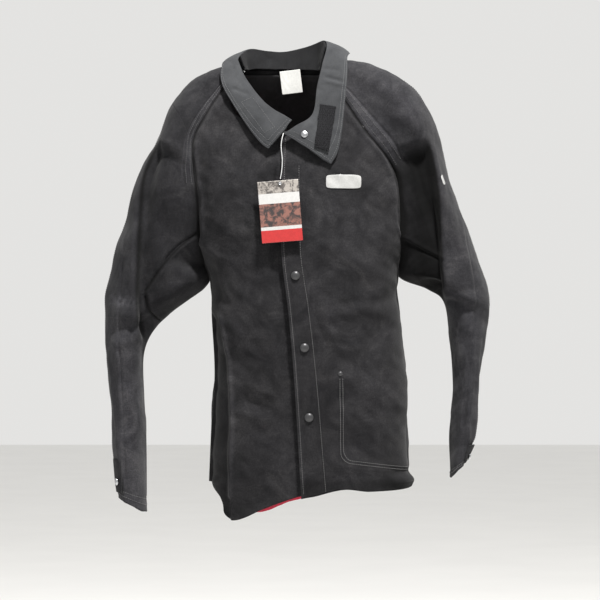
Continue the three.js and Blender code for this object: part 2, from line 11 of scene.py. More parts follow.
import bpy
import numpy as np
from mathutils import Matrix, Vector


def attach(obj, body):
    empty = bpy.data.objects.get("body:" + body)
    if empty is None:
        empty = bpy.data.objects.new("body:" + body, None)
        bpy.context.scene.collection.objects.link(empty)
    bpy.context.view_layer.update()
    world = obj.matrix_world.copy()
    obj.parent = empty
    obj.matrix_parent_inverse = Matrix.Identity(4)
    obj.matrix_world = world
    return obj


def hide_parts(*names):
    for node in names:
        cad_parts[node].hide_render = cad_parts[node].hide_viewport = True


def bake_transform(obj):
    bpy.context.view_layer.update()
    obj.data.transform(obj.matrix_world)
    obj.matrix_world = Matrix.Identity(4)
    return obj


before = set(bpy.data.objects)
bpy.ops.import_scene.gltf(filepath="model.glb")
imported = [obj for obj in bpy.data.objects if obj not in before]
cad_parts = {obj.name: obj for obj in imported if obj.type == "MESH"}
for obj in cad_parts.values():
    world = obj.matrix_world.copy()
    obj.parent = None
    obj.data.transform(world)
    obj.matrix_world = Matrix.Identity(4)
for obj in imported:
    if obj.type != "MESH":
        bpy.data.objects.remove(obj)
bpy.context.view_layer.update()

MM = 0.001
# Thickness of each cloth.
HIDE = 2.2
TWILL = 2.6
SATIN = 0.8
FACING = 1.8
POCKET_BAG = 1.4
MARK_THICKNESS = 0.5
# How far the face of each inner piece lies behind the outer face of the hide.
FACING_DEPTH = HIDE + 0.5
FRONT_LINING_DEPTH, BACK_LINING_DEPTH, POCKET_BAG_DEPTH = 7, 6.5, 11

# ---- Camera ---------------------------------------------------------------------------------

CAMERA_PLACE = (0.018, -5.1, -0.418)
CAMERA_LENS = 169.0


def add_camera():
    data = bpy.data.cameras.new("camera")
    data.lens = CAMERA_LENS
    data.sensor_width = 36
    camera = bpy.data.objects.new("camera", data)
    camera.location = CAMERA_PLACE
    camera.rotation_euler = (math.radians(90), 0, 0)
    bpy.context.scene.collection.objects.link(camera)
    bpy.context.scene.camera = camera


# ---- Tables ----------------------------------------------------------------------------------
# Most are the part's own. The hems of the fronts and of the linings, SLEEVE_JOIN, PAD_OUTLINE and
# FRONT_BEND are this scene's.

TRUNK = [
    [0, -150, 140, -48, 2], [30, -168, 156, -73, 20], [60, -183, 172, -92, 36],
    [120, -200, 203, -112, 58], [200, -199, 215, -130, 74], [300, -176, 208, -138, 84],
    [382, -144.5, 191.5, -141, 87], [450, -141, 198, -142, 88], [550, -136, 208, -141, 88],
    [650, -142, 211, -140, 89], [815, -149, 222, -138, 90],
]
TRUNK_ROUNDNESS = 2.4

# Stations down a sleeve where its parts begin and end.
SHOULDER, ARMPIT, CUFF = 3, 8, 14
# The upper and lower sleeve shells meet a little above the elbow.
SLEEVE_JOIN = 9.3
RIGHT_SLEEVE = [
    [0, -92, -4, -96, 9, -80, -2, 20, -26], [1, -119, -40, -135, -3, -104, -35, 38, -26],
    [2, -150, -88, -180, -25, -128, -85, 54, -24], [3, -173, -135, -209, -65, -146, -135, 68, -22],
    [4, -172, -190, -242, -135, -154, -190, 78, -22], [5, -164, -240, -266, -180, -156, -240, 82, -22],
    [6, -160, -300, -290, -248, -154, -300, 83, -22], [7, -153, -352, -312, -328, -150, -352, 81, -23],
    [8, -147, -388, -330, -394, -147, -388, 76, -25], [9, -214, -441, -332, -436, -214, -441, 66, -27],
    [10, -245, -472, -330, -480, -245, -472, 60, -28], [11, -263, -517, -327, -530, -263, -517, 55, -30],
    [12, -262, -590, -322, -600, -262, -590, 50, -33], [13, -258, -670, -317, -680, -258, -670, 47, -36],
    [14, -257, -798, -309, -771, -257, -798, 44, -38],
]
LEFT_SLEEVE = [
    [0, 62, -6, 68, 15, 64, -2, 20, -28], [1, 84, -42, 118, 12, 92, -36, 38, -28],
    [2, 108, -78, 158, 4, 120, -80, 54, -26], [3, 138, -121, 205, -22, 146, -125, 68, -24],
    [4, 170, -162, 245, -65, 166, -168, 78, -23], [5, 190, -202, 268, -123, 180, -210, 82, -22],
    [6, 196, -258, 287, -198, 188, -262, 83, -22], [7, 195, -318, 318, -285, 192, -320, 81, -23],
    [8, 194, -374, 350, -371, 194, -374, 76, -25], [9, 248, -399, 359, -413, 248, -399, 66, -27],
    [10, 278, -425, 355, -457, 278, -425, 60, -28], [11, 289, -505, 347, -522, 289, -505, 55, -30],
    [12, 293, -590, 338, -596, 293, -590, 50, -33], [13, 286, -660, 333, -662, 286, -660, 46, -36],
    [14, 289, -737, 311, -708, 289, -737, 42, -38],
]
SLEEVE_CROWN = 0.58
QUARTER = 1.657

FRONT_EDGE = [[100, -12], [328, -15], [437, -3], [552, 7], [800, 22]]
LAP = 36
LAP_DEPTH = 9.8
LAP_STEP_START, LAP_STEP_END = 36, 5
# Share of the way from the side seam to the front edge, and the drop there.
LEFT_NECKLINE = [[0, 9], [0.15, 54], [0.4, 102], [1, 128]]
RIGHT_NECKLINE = [[0, 6], [0.15, 42], [0.4, 86], [0.7, 106], [1, 124]]
LEFT_HEM = [[0, 746], [0.12, 752], [0.63, 757], [0.81, 753], [1, 769]]
RIGHT_HEM = [
    [0, 742], [0.15, 755], [0.27, 768], [0.30, 778], [0.32, 794], [0.38, 804], [0.46, 809], [0.58, 803],
    [0.7, 789], [0.85, 772], [1, 757],
]
RIGHT_LINING_HEM = [[0, 736], [0.3, 758], [0.45, 776], [0.6, 790], [0.7, 792.5], [0.85, 777], [1, 761]]
BACK_HEM = [[0, 744], [0.5, 764], [1, 750]]
LINING_HEM = [[0, 736], [0.3, 759], [0.55, 764], [0.8, 758], [1, 744]]

CREST = [
    [4, -117, -100], [-8, -114, -92], [-44, -101, -68], [-76, -78, -26], [-90, -56, 4], [-92, -34, 20],
    [-74, -2, 36], [-40, 12, 33], [-8, 16, 32], [35, 10, 42], [60, -8, 50],
    [66, -34, 38], [58, -58, 4], [49, -82, -35], [40, -105, -88], [8, -123, -112], [-11, -126, -124],
]
FREE_EDGE = [
    [-38, -127, -151], [-52, -124, -140], [-74, -115, -112], [-106, -96, -62], [-121, -80, -32],
    [-122, -58, 0], [-113, -12, 14], [-86, 28, 0], [-8, 36, -20], [76, 28, 8], [106, -14, 26],
    [103, -56, 16], [102, -82, -20], [99, -97, -56], [92, -117, -120], [84, -126, -158], [73, -131, -178],
]
RIGHT_LEAF_END, LEFT_LEAF_START = 5 / 16, 11 / 16
NECK_SEAM = [[-83, -36, -3], [-68, -9, 2], [-8, 1, 2], [50, -8, 2], [56, -36, -1]]
LOOP_PAD = [[54, -71], [82, -76], [43, -148], [68, -156]]
HOOK_PAD = [[-78, -64], [-60, -74], [-60, -112], [-34, -108]]
# Sewn outline on the right leaf, over the hook pad, as x z.
PAD_OUTLINE = [(-86, -67), (-67, -58), (-27, -112), (-45, -122), (-86, -67)]

NECK_SNAP = (26, -126, 12.5)
FRONT_SNAPS = [[0, -250], [10, -375], [26, -502], [34, -625]]
CAP_DIAMETER = 15.5
RIVET = (89, -548, 8)
STRING_DIAMETER = 1.6
STRING_ROUTE = [
    [-11, -136, -124], [-13.5, -139.5, -133], [-15.2, -141.5, -145], [-14.6, -142.8, -157],
    [-13.4, -143.8, -169], [-13.4, -144.8, -181], [-14.6, -145.8, -193], [-16.6, -146.6, -205],
]
TAG = {"x": -17, "top": -208, "width": 72, "height": 108, "y": -148.6, "turn": -0.08}
LABEL = {"x": 2, "top": -3, "width": 37, "height": 42, "y": -9, "turn": -0.12}
POCKET = {"inner": 92, "outer": 196, "top": 548, "bottom": 724}
# Where a front starts and ends its bend. Depth plays no part.
FRONT_BEND = {"left": ((162, -58, 10), (112, -58, 8.4)), "right": ((-171, -64, 10), (-121, -64, 11.9))}

# ---- Curves and surfaces ---------------------------------------------------------------------


def mix(a, b, w):
    return a + (b - a) * w


def smooth(low, high, x):
    w = np.clip((x - low) / (high - low), 0, 1)
    return w * w * (3 - 2 * w)


def bell(distance, width):
    return np.exp(-((distance / width) ** 2))


def track(rows):
    """A smooth curve through rows of [place, value, ...]; gives the values at any places."""
    rows = np.array(rows, float)
    place, values = rows[:, 0], rows[:, 1:]
    last = len(rows) - 1
    before = np.maximum(np.arange(len(rows)) - 1, 0)
    after = np.minimum(np.arange(len(rows)) + 1, last)
    slopes = (values[after] - values[before]) / (place[after] - place[before])[:, None]

    def at(x):
        x = np.clip(np.asarray(x, float), place[0], place[-1])
        i = np.clip(np.searchsorted(place, x, side="left") - 1, 0, last - 1)
        span = (place[i + 1] - place[i])[..., None]
        s = (x - place[i])[..., None] / span
        rise = values[i + 1] - values[i]
        a = slopes[i] * span - rise
        b = rise - slopes[i + 1] * span
        return values[i] + rise * s + s * (1 - s) * (a * (1 - s) + b * s)

    return at


def value(rows):
    curve = track(rows)
    return lambda x: curve(x)[..., 0]


def point_track(points):
    return track([[i / (len(points) - 1), *p] for i, p in enumerate(points)])


trunk_at = track(TRUNK)
front_edge = value(FRONT_EDGE)


def trunk_section(drop):
    left, right, front, back = np.moveaxis(trunk_at(drop), -1, 0)
    return (left + right) / 2, (right - left) / 2, (front + back) / 2, (back - front) / 2


def trunk_point(angle, drop):
    """Angle in degrees: -90 is the wearer's right side, 0 the front, 90 the left, 180 the back."""
    angle, drop = np.broadcast_arrays(np.asarray(angle, float), np.asarray(drop, float))
    mid_x, half_x, mid_y, half_y = trunk_section(drop)
    sine, cosine = np.sin(np.radians(angle)), np.cos(np.radians(angle))
    power = 2 / TRUNK_ROUNDNESS
    x = mid_x + half_x * np.sign(sine) * np.abs(sine) ** power
    y = mid_y - half_y * np.sign(cosine) * np.abs(cosine) ** power
    return np.stack([x, y, -drop], -1)


def front_angle(x, drop):
    mid_x, half_x, _, _ = trunk_section(drop)
    share = np.clip((x - mid_x) / half_x, -1, 1)
    return np.degrees(np.arcsin(np.sign(share) * np.abs(share) ** (TRUNK_ROUNDNESS / 2)))


def trunk_y(x, drop, at_back=False):
    angle = front_angle(x, drop)
    return trunk_point(180 - angle if at_back else angle, drop)[..., 1]


def sleeve_surface(rows):
    """(t, around) to a point; around is 0 at the front seam, 0.5 at the outer edge, 1 at the back."""
    stations = track(rows)

    def at(t, around):
        t, around = np.broadcast_arrays(np.asarray(t, float), np.asarray(around, float))
        fx, fz, ox, oz, bx, bz, depth, mid_y = np.moveaxis(stations(t), -1, 0)
        closed = smooth(ARMPIT - 1.2, ARMPIT, t)
        front = np.stack([fx, mix(trunk_y(fx, -fz), mid_y, closed), fz], -1)
        back = np.stack([bx, mix(trunk_y(bx, -bz, True), mid_y, closed), bz], -1)
        outer = np.stack([ox, mid_y, oz], -1)
        at_front = (around < 0.5)[..., None]
        seam = np.where(at_front, front, back)
        side = np.where(at_front, -1.0, 1.0)[..., 0]
        crown = np.stack([
            mix(seam[..., 0], ox, SLEEVE_CROWN), mid_y + side * depth, mix(seam[..., 2], oz, SLEEVE_CROWN),
        ], -1)
        reach = (outer - seam) * np.array([1, 0, 1])
        upright = np.zeros_like(seam)
        upright[..., 1] = side * QUARTER * depth
        share = np.where(around < 0.5, around * 4, (1 - around) * 4)[..., None]
        leave = mix(crown - seam, upright, closed[..., None])
        first = hermite(seam, crown, leave, reach * QUARTER * SLEEVE_CROWN, share)
        second = hermite(crown, outer, reach * QUARTER * (1 - SLEEVE_CROWN), -upright, share - 1)
        return np.where(share <= 1, first, second)

    return at


def hermite(a, b, ta, tb, s):
    s2, s3 = s * s, s * s * s
    return a * (2 * s3 - 3 * s2 + 1) + ta * (s3 - 2 * s2 + s) + b * (3 * s2 - 2 * s3) + tb * (s3 - s2)


SIDES = {}
for side_name, side_sign, side_rows in (("right", -1, RIGHT_SLEEVE), ("left", 1, LEFT_SLEEVE)):
    seams = side_rows[: ARMPIT + 1]
    SIDES[side_name] = {
        "name": side_name,
        "sign": side_sign,
        "sleeve": sleeve_surface(side_rows),
        "front_seam": value([[-row[2], row[1]] for row in seams]),
        "back_seam": value([[-row[6], row[5]] for row in seams]),
        "armpit": -side_rows[ARMPIT][2],
    }


# How far above the armpit the edge starts to run behind the sleeve, and where it has done so.
EDGE_TURN = (95, 15)


def edge_angle(side, drop, at_back):
    """Angle of the outer edge of the front or the back: the raglan seam, and then the side seam."""
    sign = side["sign"]
    seam = side["back_seam" if at_back else "front_seam"](drop)
    clear = sign * np.minimum(np.abs(front_angle(seam, drop)), 90)
    above = sign * 180 - clear if at_back else clear
    # On its way down to the armpit the edge runs on round the side, behind the sleeve.
    start, end = (side["armpit"] - before for before in EDGE_TURN)
    return mix(above, sign * 90.0, smooth(start, end, drop))


crest, free_edge, neck_seam = point_track(CREST), point_track(FREE_EDGE), point_track(NECK_SEAM)


def collar_fall(along, down):
    along, down = np.broadcast_arrays(np.asarray(along, float), np.asarray(down, float))
    a, b = crest(along), free_edge(along)
    away = np.stack([a[..., 0] + 10, a[..., 1] + 30, np.full(along.shape, 30.0)], -1)
    away /= np.linalg.norm(away, axis=-1, keepdims=True)
    down = down[..., None]
    return mix(a, b, down) + away * 5 * np.sin(np.pi * down)


# ---- Folds -----------------------------------------------------------------------------------


def ripple(seed, size, *coords):
    """Smooth bumps about -1 to 1, of about that size, from a few sine waves set by the seed."""
    rng = np.random.default_rng(seed)
    total = 0
    for _ in range(7):
        direction = rng.normal(size=len(coords))
        direction *= 2 * np.pi / (np.linalg.norm(direction) * size * rng.uniform(0.7, 1.6))
        phase = rng.uniform(0, 2 * np.pi)
        total = total + np.sin(sum(d * c for d, c in zip(direction, coords)) + phase)
    return total / 3


def crease(x, z, start, end, width, height, bow=0.0):
    """A soft ridge (or, with a negative height, a hollow) along a line from start to end."""
    (ax, az), (bx, bz) = start, end
    dx, dz = bx - ax, bz - az
    length = math.hypot(dx, dz)
    s = ((x - ax) * dx + (z - az) * dz) / length**2
    across = ((x - ax) * dz - (z - az) * dx) / length - bow * 4 * s * (1 - s)
    ends = smooth(-0.12, 0.3, s) * (1 - smooth(0.7, 1.12, s))
    return height * ends * bell(across, width)


# Folds of the fronts: start, end, half width, height and bow, as x z.
FRONT_FOLDS = [
    ((37, -411), (66, -503), 5, -3.4, 4), ((50, -404), (84, -496), 8, 2.6, 5),
    ((60, -428), (192, -422), 8, -2.2, -4), ((60, -446), (196, -440), 10, 2.0, -4),
    ((-156, -318), (-104, -350), 5, 2.2, 4), ((-130, -330), (-106, -420), 6, 2.4, 5),
    ((-84, -560), (-22, -588), 8, 2.6, 4), ((-88, -586), (-30, -612), 8, -2.2, 4),
    ((-92, -610), (-18, -634), 9, 2.4, 3), ((-130, -420), (-60, -520), 14, 2.6, 8),
    ((-150, -300), (-70, -420), 18, 3.0, 8), ((130, -330), (70, -450), 16, 2.4, -8),
    ((185, -370), (110, -440), 12, 2.6, -6), ((190, -395), (130, -520), 14, -2.4, -6),
    ((-110, -640), (-90, -780), 12, 3.4, 3), ((-50, -650), (-64, -790), 16, 2.8, 4),
    ((60, -560), (56, -740), 15, 2.2, 3), ((150, -560), (168, -735), 18, 2.2, -4),
    ((-90, -180), (-60, -300), 18, 2.2, 5), ((70, -250), (40, -380), 18, 1.8, 5),
    ((160, -230), (150, -350), 16, -2.4, 4), ((-150, -260), (-120, -370), 12, -2.8, -4),
]
BACK_FOLDS = [
    ((-120, -330), (-40, -520), 20, 3.2, 8), ((150, -330), (70, -520), 20, 3.2, -8),
    ((-70, -540), (-84, -740), 22, 3.4, 5), ((40, -420), (34, -740), 24, 3.2, 6),
    ((130, -520), (140, -730), 20, 3.0, -5), ((-90, -150), (90, -170), 26, 2.2, 12),
]


def path_frame(x, z, path):
    """Distance in mm from a downward path of x z points, positive towards +X, and the share along it."""
    knots = point_track(path)(np.linspace(0, 1, 60))
    start, way = knots[:-1], np.diff(knots, axis=0)
    off_x, off_z = x[..., None] - start[:, 0], z[..., None] - start[:, 1]
    share = np.clip((off_x * way[:, 0] + off_z * way[:, 1]) / np.sum(way**2, 1), 0, 1)
    off_x, off_z = off_x - share * way[:, 0], off_z - share * way[:, 1]
    away = np.hypot(off_x, off_z)
    near = np.argmin(away, axis=-1)[..., None]
    facing = np.sign(way[:, 0] * off_z - way[:, 1] * off_x)
    facing, away, share = (np.take_along_axis(part, near, -1)[..., 0] for part in (facing, away, share))
    return facing * away, (near[..., 0] + share) / len(way)


def pocket_line(x, z):
    """Signed distance in mm to the pocket's sewn outline, negative inside; round lower corner."""
    middle_x, middle_z = 155, -638
    half_x, half_z, corner = 66, 90, 24
    qx = np.abs(x - middle_x - 0.04 * (z - middle_z)) - (half_x - corner)
    qz = np.abs(z - middle_z + 0.1 * (x - middle_x)) - (half_z - corner)
    outside = np.hypot(np.maximum(qx, 0), np.maximum(qz, 0))
    return outside + np.minimum(np.maximum(qx, qz), 0) - corner


# Degrees inside an outer edge over which the folds fade out, so that the edge lies flush in its seam.
SEAM_FADE = 3.5

# The rolled fold down the right front, as x z from the top; the strip outside it lies deeper.
RIGHT_RIDGE = [(-128, -430), (-119, -470), (-107, -540), (-103, -620), (-104, -700), (-107, -765)]


def front_relief(side, point, angle, drop):
    x, z = point[..., 0], point[..., 2]
    out = 2.4 * ripple(3, 150, x, z) + 1.0 * ripple(5, 52, x, z) + 0.4 * ripple(8, 21, x, z)
    for start, end, width, height, bow in FRONT_FOLDS:
        out = out + crease(x, z, start, end, width, height, bow)
    from_edge = x - front_edge(-z)
    flat = smooth(24, 60, np.abs(from_edge - 16))
    out = out * mix(0.3, 1, flat)
    if side["sign"] > 0:
        out = out - 0.7 * bell(from_edge - 7, 1.5)
        out = out - 0.6 * bell(from_edge - 41, 1.6)
        line = pocket_line(x, z)
        shown = smooth(80, 96, x) * (1 - smooth(-560, -540, z))
        out = out + shown * (0.9 * smooth(3, -3, line) - 0.9 * bell(line + 4, 1.6))
    else:
        across, share = path_frame(x, z, RIGHT_RIDGE)
        shown = smooth(0, 0.12, share)
        out = out + shown * (3.0 * bell(across, 4.5) - 7.0 * smooth(-1, 12, -across))
    hem = smooth(700, 760, -z)
    out = out + hem * 2.2 * np.sin(x / 17.0 + side["sign"]) * smooth(20, 60, np.abs(from_edge))
    # A soft roll just inside the outer edge.
    away = np.abs(angle - edge_angle(side, drop, False))
    above_armpit = 1 - smooth(side["armpit"], side["armpit"] + 30, drop)
    roll = above_armpit * 2.6 * bell(away - 4, 2.4)
    return (out + roll) * smooth(0, SEAM_FADE, away) + corner_roll(x, z)


def front_surface(side):
    """The outer face of a front by angle and drop, folds and seams included."""

    def base(angle, drop):
        point = trunk_point(angle, drop)
        if side["sign"] < 0:
            edge = front_edge(drop)
            step = LAP_DEPTH * smooth(edge - LAP_STEP_START, edge - LAP_STEP_END, point[..., 0])
            point = point + np.stack([0 * step, step, 0 * step], -1)
        return point

    return raised(base, lambda point, u, v: front_relief(side, point, u, v), TRUNK_WAY)


def corner_roll(x, z):
    """The hem's left corner bunches up into a small roll."""
    roll = 7.0 * smooth(150, 205, x) * bell(z + 741, 8)
    return roll - 2.5 * smooth(170, 205, x) * bell(z + 724, 6)


def back_relief(point, u, v):
    x, z = point[..., 0], point[..., 2]
    out = 2.1 * ripple(13, 150, x, z) + 0.8 * ripple(15, 50, x, z) + 0.3 * ripple(18, 20, x, z)
    for start, end, width, height, bow in BACK_FOLDS:
        out = out + crease(x, z, start, end, width, height, bow)
    out = out + smooth(690, 760, -z) * 2.4 * np.sin(x / 21.0)
    first = 360 + edge_angle(SIDES["right"], v, True)
    second = edge_angle(SIDES["left"], v, True)
    return out * smooth(0, SEAM_FADE, np.minimum(first - u, u - second)) + corner_roll(x, z)


# Each kind of surface: the sign that turns its normal outwards, and the steps that measure it.
TRUNK_WAY = (-1, 0.2, 1.0)
COLLAR_WAY = (1, 0.003, 0.02)
STAND_WAY = (-1, 0.003, 0.02)


def sleeve_way(side):
    return (side["sign"], 0.01, 0.004)


def raised(base, relief, way):
    """Surface moved out along its normal by relief(point, u, v) millimetres."""

    def at(u, v):
        u, v = np.broadcast_arrays(np.asarray(u, float), np.asarray(v, float))
        point = base(u, v)
        return point + outward(base, u, v, way) * relief(point, u, v)[..., None]

    return at


def outward(surface, u, v, way):
    facing, u_step, v_step = way
    along = surface(u + u_step, v) - surface(u - u_step, v)
    across = surface(u, v + v_step) - surface(u, v - v_step)
    normal = np.cross(along, across)
    size = np.linalg.norm(normal, axis=-1, keepdims=True)
    return facing * normal / np.maximum(size, 1e-9)


# Folds across a sleeve: station, place around, half lengths along and around, height.
SLEEVE_FOLDS = [
    (5.2, 0.30, 1.7, 0.035, 3.2), (6.4, 0.22, 1.5, 0.03, -3.0), (7.3, 0.34, 1.4, 0.035, 3.4),
    (8.5, 0.16, 0.5, 0.07, 3.4), (9.2, 0.26, 0.32, 0.10, 3.6), (9.8, 0.20, 0.24, 0.12, -3.4),
    (10.4, 0.30, 0.26, 0.12, 3.2), (11.1, 0.18, 0.3, 0.10, 2.4), (11.8, 0.38, 1.1, 0.03, 2.8),
    (12.7, 0.22, 0.9, 0.03, -2.4), (13.3, 0.32, 0.8, 0.03, 2.2), (5.6, 0.72, 1.6, 0.04, 3.0),
    (7.4, 0.66, 1.4, 0.04, -3.0), (9.4, 0.72, 0.3, 0.12, 3.4), (10.1, 0.66, 0.3, 0.12, 3.0),
    (12.2, 0.70, 1.0, 0.035, 2.4),
]


# Front of each sleeve, as x z from the top: where the outer half folds over the inner one, how deep
# the inner one lies behind it, and the seam of the underarm gusset.
OVERLAP = {
    "left": [(248, -128), (257, -172), (264, -214), (268, -268), (270, -316), (274, -396), (282, -440)],
    "right": [
        (-236, -128), (-252, -163), (-265, -200), (-269, -250), (-273, -352), (-274, -428), (-264, -500),
    ],
}
OVERLAP_DEPTH = {"left": 17, "right": 13}
GUSSET = {
    "left": [(196, -310), (225, -329), (272, -350)],
    "right": [(-157, -292), (-201, -328), (-231, -364), (-260, -408)],
}
# Cut end of the right gusset, and the long seam of the outer half.
GUSSET_END = [(-258, -410), (-250, -436), (-232, -456)]
OUTER_SEAM = {
    "left": [(303, -256), (318, -352), (326, -412), (321, -472), (309, -592), (301, -660)],
    "right": [(-292, -300), (-305, -380), (-309, -450), (-306, -560), (-300, -680), (-298, -740)],
}


def gusset_seams(side, x, z, around, fade):
    """For each gusset seam: the distance across it and how much of it shows, fading at its ends."""
    paths = [GUSSET[side["name"]]] + ([GUSSET_END] if side["sign"] < 0 else [])
    at_front = smooth(0.49, 0.44, around)
    for path in paths:
        across, share = path_frame(x, z, path)
        yield across, smooth(0.0, fade, share) * smooth(1.0, 1 - fade, share) * at_front


def overlap(side, x, z, around):
    """Distance inside the overlap fold, and how much it shows: only on the front, away from its ends."""
    across, share = path_frame(x, z, OVERLAP[side["name"]])
    shown = smooth(0.49, 0.44, around) * smooth(0.0, 0.12, share) * smooth(1.0, 0.93, share)
    return -side["sign"] * across, shown


# Painted shade: how much darker each sleeve is painted where it is folded in.
FOLDED_IN_SHADE = {"left": -0.92, "right": -0.3}


def sleeve_nap_and_shade(side):
    """Tone of the sleeve hide: painted shade where it is folded in, in the gusset grooves and along the
    seam to the body; painted light on its outer half, raglan band and lower sleeve; a worn band and a pale
    spot on the right sleeve, and random brushed streaks.
    """

    def nap_and_shade(point, t, around):
        x, z = point[..., 0], point[..., 2]
        inside, shown = overlap(side, x, z, around)
        # Painted shade over the folded-in half, and a painted shadow line just inside the fold.
        out = FOLDED_IN_SHADE[side["name"]] * shown * smooth(-1, 6, inside) * (1 - 0.4 * smooth(30, 75, inside))
        out = out - 0.8 * shown * bell(inside - 3.5, 4)
        # Painted shade in the grooves of the gusset seams.
        for across, seen in gusset_seams(side, x, z, around, 0.03):
            out = out - seen * 0.75 * bell(across, 2.4)
        # Painted light on the outer half, outside the fold, and on the lower sleeve.
        out = out + 0.35 * smooth(2, -8, inside) * smooth(3.5, 6, t) + 0.45 * smooth(8.5, 10.5, t)
        seam = np.minimum(around, 1 - around)
        # Painted light on the raglan band, more of it on the left side.
        out = out + 0.45 * (1 - smooth(0.1, 0.16, seam)) * (1 - smooth(4.2, 5, t))
        if side["sign"] > 0:
            out = out + 0.3 * (1 - smooth(3.6, 4.6, t))
        # Painted shade along the seam to the body under the arm, and a painted shadow line on the seam
        # itself.
        out = out - 0.6 * (1 - smooth(0.0, 0.07, seam)) * smooth(4, 5, t) * (1 - smooth(8, 8.6, t))
        out = out - 0.7 * (1 - smooth(0.004, 0.022, seam)) * (1 - smooth(7.5, 8, t))
        if side["sign"] < 0:
            worn = bell(x + 303, 25) * bell(z + 420 + 0.12 * (x + 303), 11)
            out = out + 2.4 * worn * (0.7 + 0.4 * ripple(71, 9, x, z)) * smooth(0.5, 0.46, around)
            out = out + 1.2 * bell(x + 309, 3) * bell(z + 512, 7)
        streak = ripple(73, 8, x - 0.1 * z * side["sign"]) * smooth(8, 10, t) * smooth(13.6, 12, t)
        return out + 0.10 * streak + 0.10 * ripple(72, 60, x, z)

    return nap_and_shade


# Tone of a front's hide: painted light and painted shade at its edge, seam and folds, with random tone.
def front_nap_and_shade(side):
    def nap_and_shade(point, angle, drop):
        x, z = point[..., 0], point[..., 2]
        out = 0.16 * ripple(75, 120, x, z) + 0.10 * ripple(76, 45, x, z)
        away = np.abs(angle - edge_angle(side, drop, False))
        # Painted highlight on the roll just inside the outer edge.
        out = out + 0.4 * bell(away - 4.5, 3) * (1 - smooth(260, 420, drop))
        # Painted shade right along the raglan seam above the armpit.
        above_armpit = 1 - smooth(side["armpit"] - 60, side["armpit"], drop)
        out = out - 0.6 * (1 - smooth(0.2, 1.6, away)) * above_armpit
        if side["sign"] > 0:
            # Paler along the front edge, and darker along the bottom of the hem.
            out = out + 0.5 * smooth(10, 0, np.abs(x - front_edge(drop) - 1))
            out = out - 0.45 * smooth(728, 742, drop)
        else:
            # Painted highlight along the rolled fold and painted shade on the deeper strip outside it.
            across, share = path_frame(x, z, RIGHT_RIDGE)
            shown = smooth(0, 0.12, share)
            out = out + shown * (0.6 * bell(across, 5) - 0.4 * smooth(2, 8, -across))
        return out

    return nap_and_shade


def sleeve_relief(side):
    seed = 30 if side["sign"] > 0 else 40

    def relief(point, t, around):
        x, y, z = np.moveaxis(point, -1, 0)
        out = 1.7 * ripple(seed, 110, x, y, z) + 0.7 * ripple(seed + 1, 42, x, y, z)
        out = out + 0.28 * ripple(seed + 2, 17, x, y, z)
        for place, across, long, wide, height in SLEEVE_FOLDS:
            lean = across + 0.035 * (t - place) * side["sign"]
            out = out + height * bell(t - place, long) * bell(around - lean, wide)
        inside, shown = overlap(side, x, z, around)
        sunk = smooth(0, 9, inside) * (1 - 0.5 * smooth(12, 70, inside))
        sunk = sunk * smooth(0.0, 0.13, np.minimum(around, 1 - around))
        out = out + shown * (2.6 * bell(inside + 5, 5) - OVERLAP_DEPTH[side["name"]] * sunk)
        for across, seen in gusset_seams(side, x, z, around, 0.04):
            out = out + seen * (1.6 * bell(across - 6, 4) - 3.0 * bell(across, 2.2))
        across, share = path_frame(x, z, OUTER_SEAM[side["name"]])
        seen = smooth(0.0, 0.1, share) * smooth(1.0, 0.95, share) * smooth(0.49, 0.44, around)
        out = out + seen * (1.5 * bell(across, 3.5) - 1.2 * bell(across - 5, 2))
        seam = np.minimum(around, 1 - around)
        out = out * smooth(0.0, 0.05, seam)
        # The sewn seam down the outer edge, and the gathered band beside the raglan seam.
        out = out - 1.1 * bell(around - 0.5, 0.006)
        raglan = 1 - smooth(4.2, 5.2, t)
        band = smooth(0.0, 0.02, seam) * (1 - smooth(0.085, 0.12, seam)) * raglan
        out = out + band * (1.3 + 0.35 * np.sin(t * 70))
        out = out - 1.8 * raglan * bell(seam - 0.11, 0.014)
        cuff = bell(t - 13.82, 0.03)
        return out - 0.7 * cuff

    return relief


def sleeve_shape(side):
    return raised(side["sleeve"], sleeve_relief(side), sleeve_way(side))


COLLAR_CREASES = [
    ((58, -18), (98, -30), 4, -2.2), ((60, -27), (100, -38), 4, 1.6), ((-104, -40), (-74, -52), 4, -1.8),
    ((-96, -84), (-70, -70), 4, 1.4), ((56, -4), (90, -8), 4, -1.4),
]


def collar_relief(point, along, down):
    x, y, z = np.moveaxis(point, -1, 0)
    out = 0.9 * ripple(60, 60, x, y, z) + 0.35 * ripple(61, 20, x, y, z)
    edge = 1 - down
    out = out - 0.5 * bell(edge - 0.05, 0.02) - 0.45 * bell(edge - 0.17, 0.02)
    for start, end, width, height in COLLAR_CREASES:
        out = out + crease(x, z, start, end, width, height)
    return out + 0.8 * smooth(0.0, 0.08, edge) * (1 - smooth(0.1, 0.3, down))


collar_shape = raised(collar_fall, collar_relief, COLLAR_WAY)


# ---- Mesh building ---------------------------------------------------------------------------


def add_mesh(name, points, faces, material, uv=None):
    mesh = bpy.data.meshes.new(name)
    faces = faces.tolist() if hasattr(faces, "tolist") else faces
    mesh.from_pydata((np.asarray(points) * MM).tolist(), [], faces)
    mesh.shade_smooth()
    if uv is not None:
        index = np.zeros(len(mesh.loops), np.int32)
        mesh.loops.foreach_get("vertex_index", index)
        layer = mesh.uv_layers.new(name="cloth")
        layer.data.foreach_set("uv", (np.asarray(uv)[index] * MM).astype(np.float32).ravel())
    mesh.materials.append(material)
    mesh.update()
    piece = bpy.data.objects.new(name, mesh)
    bpy.context.scene.collection.objects.link(piece)
    return piece


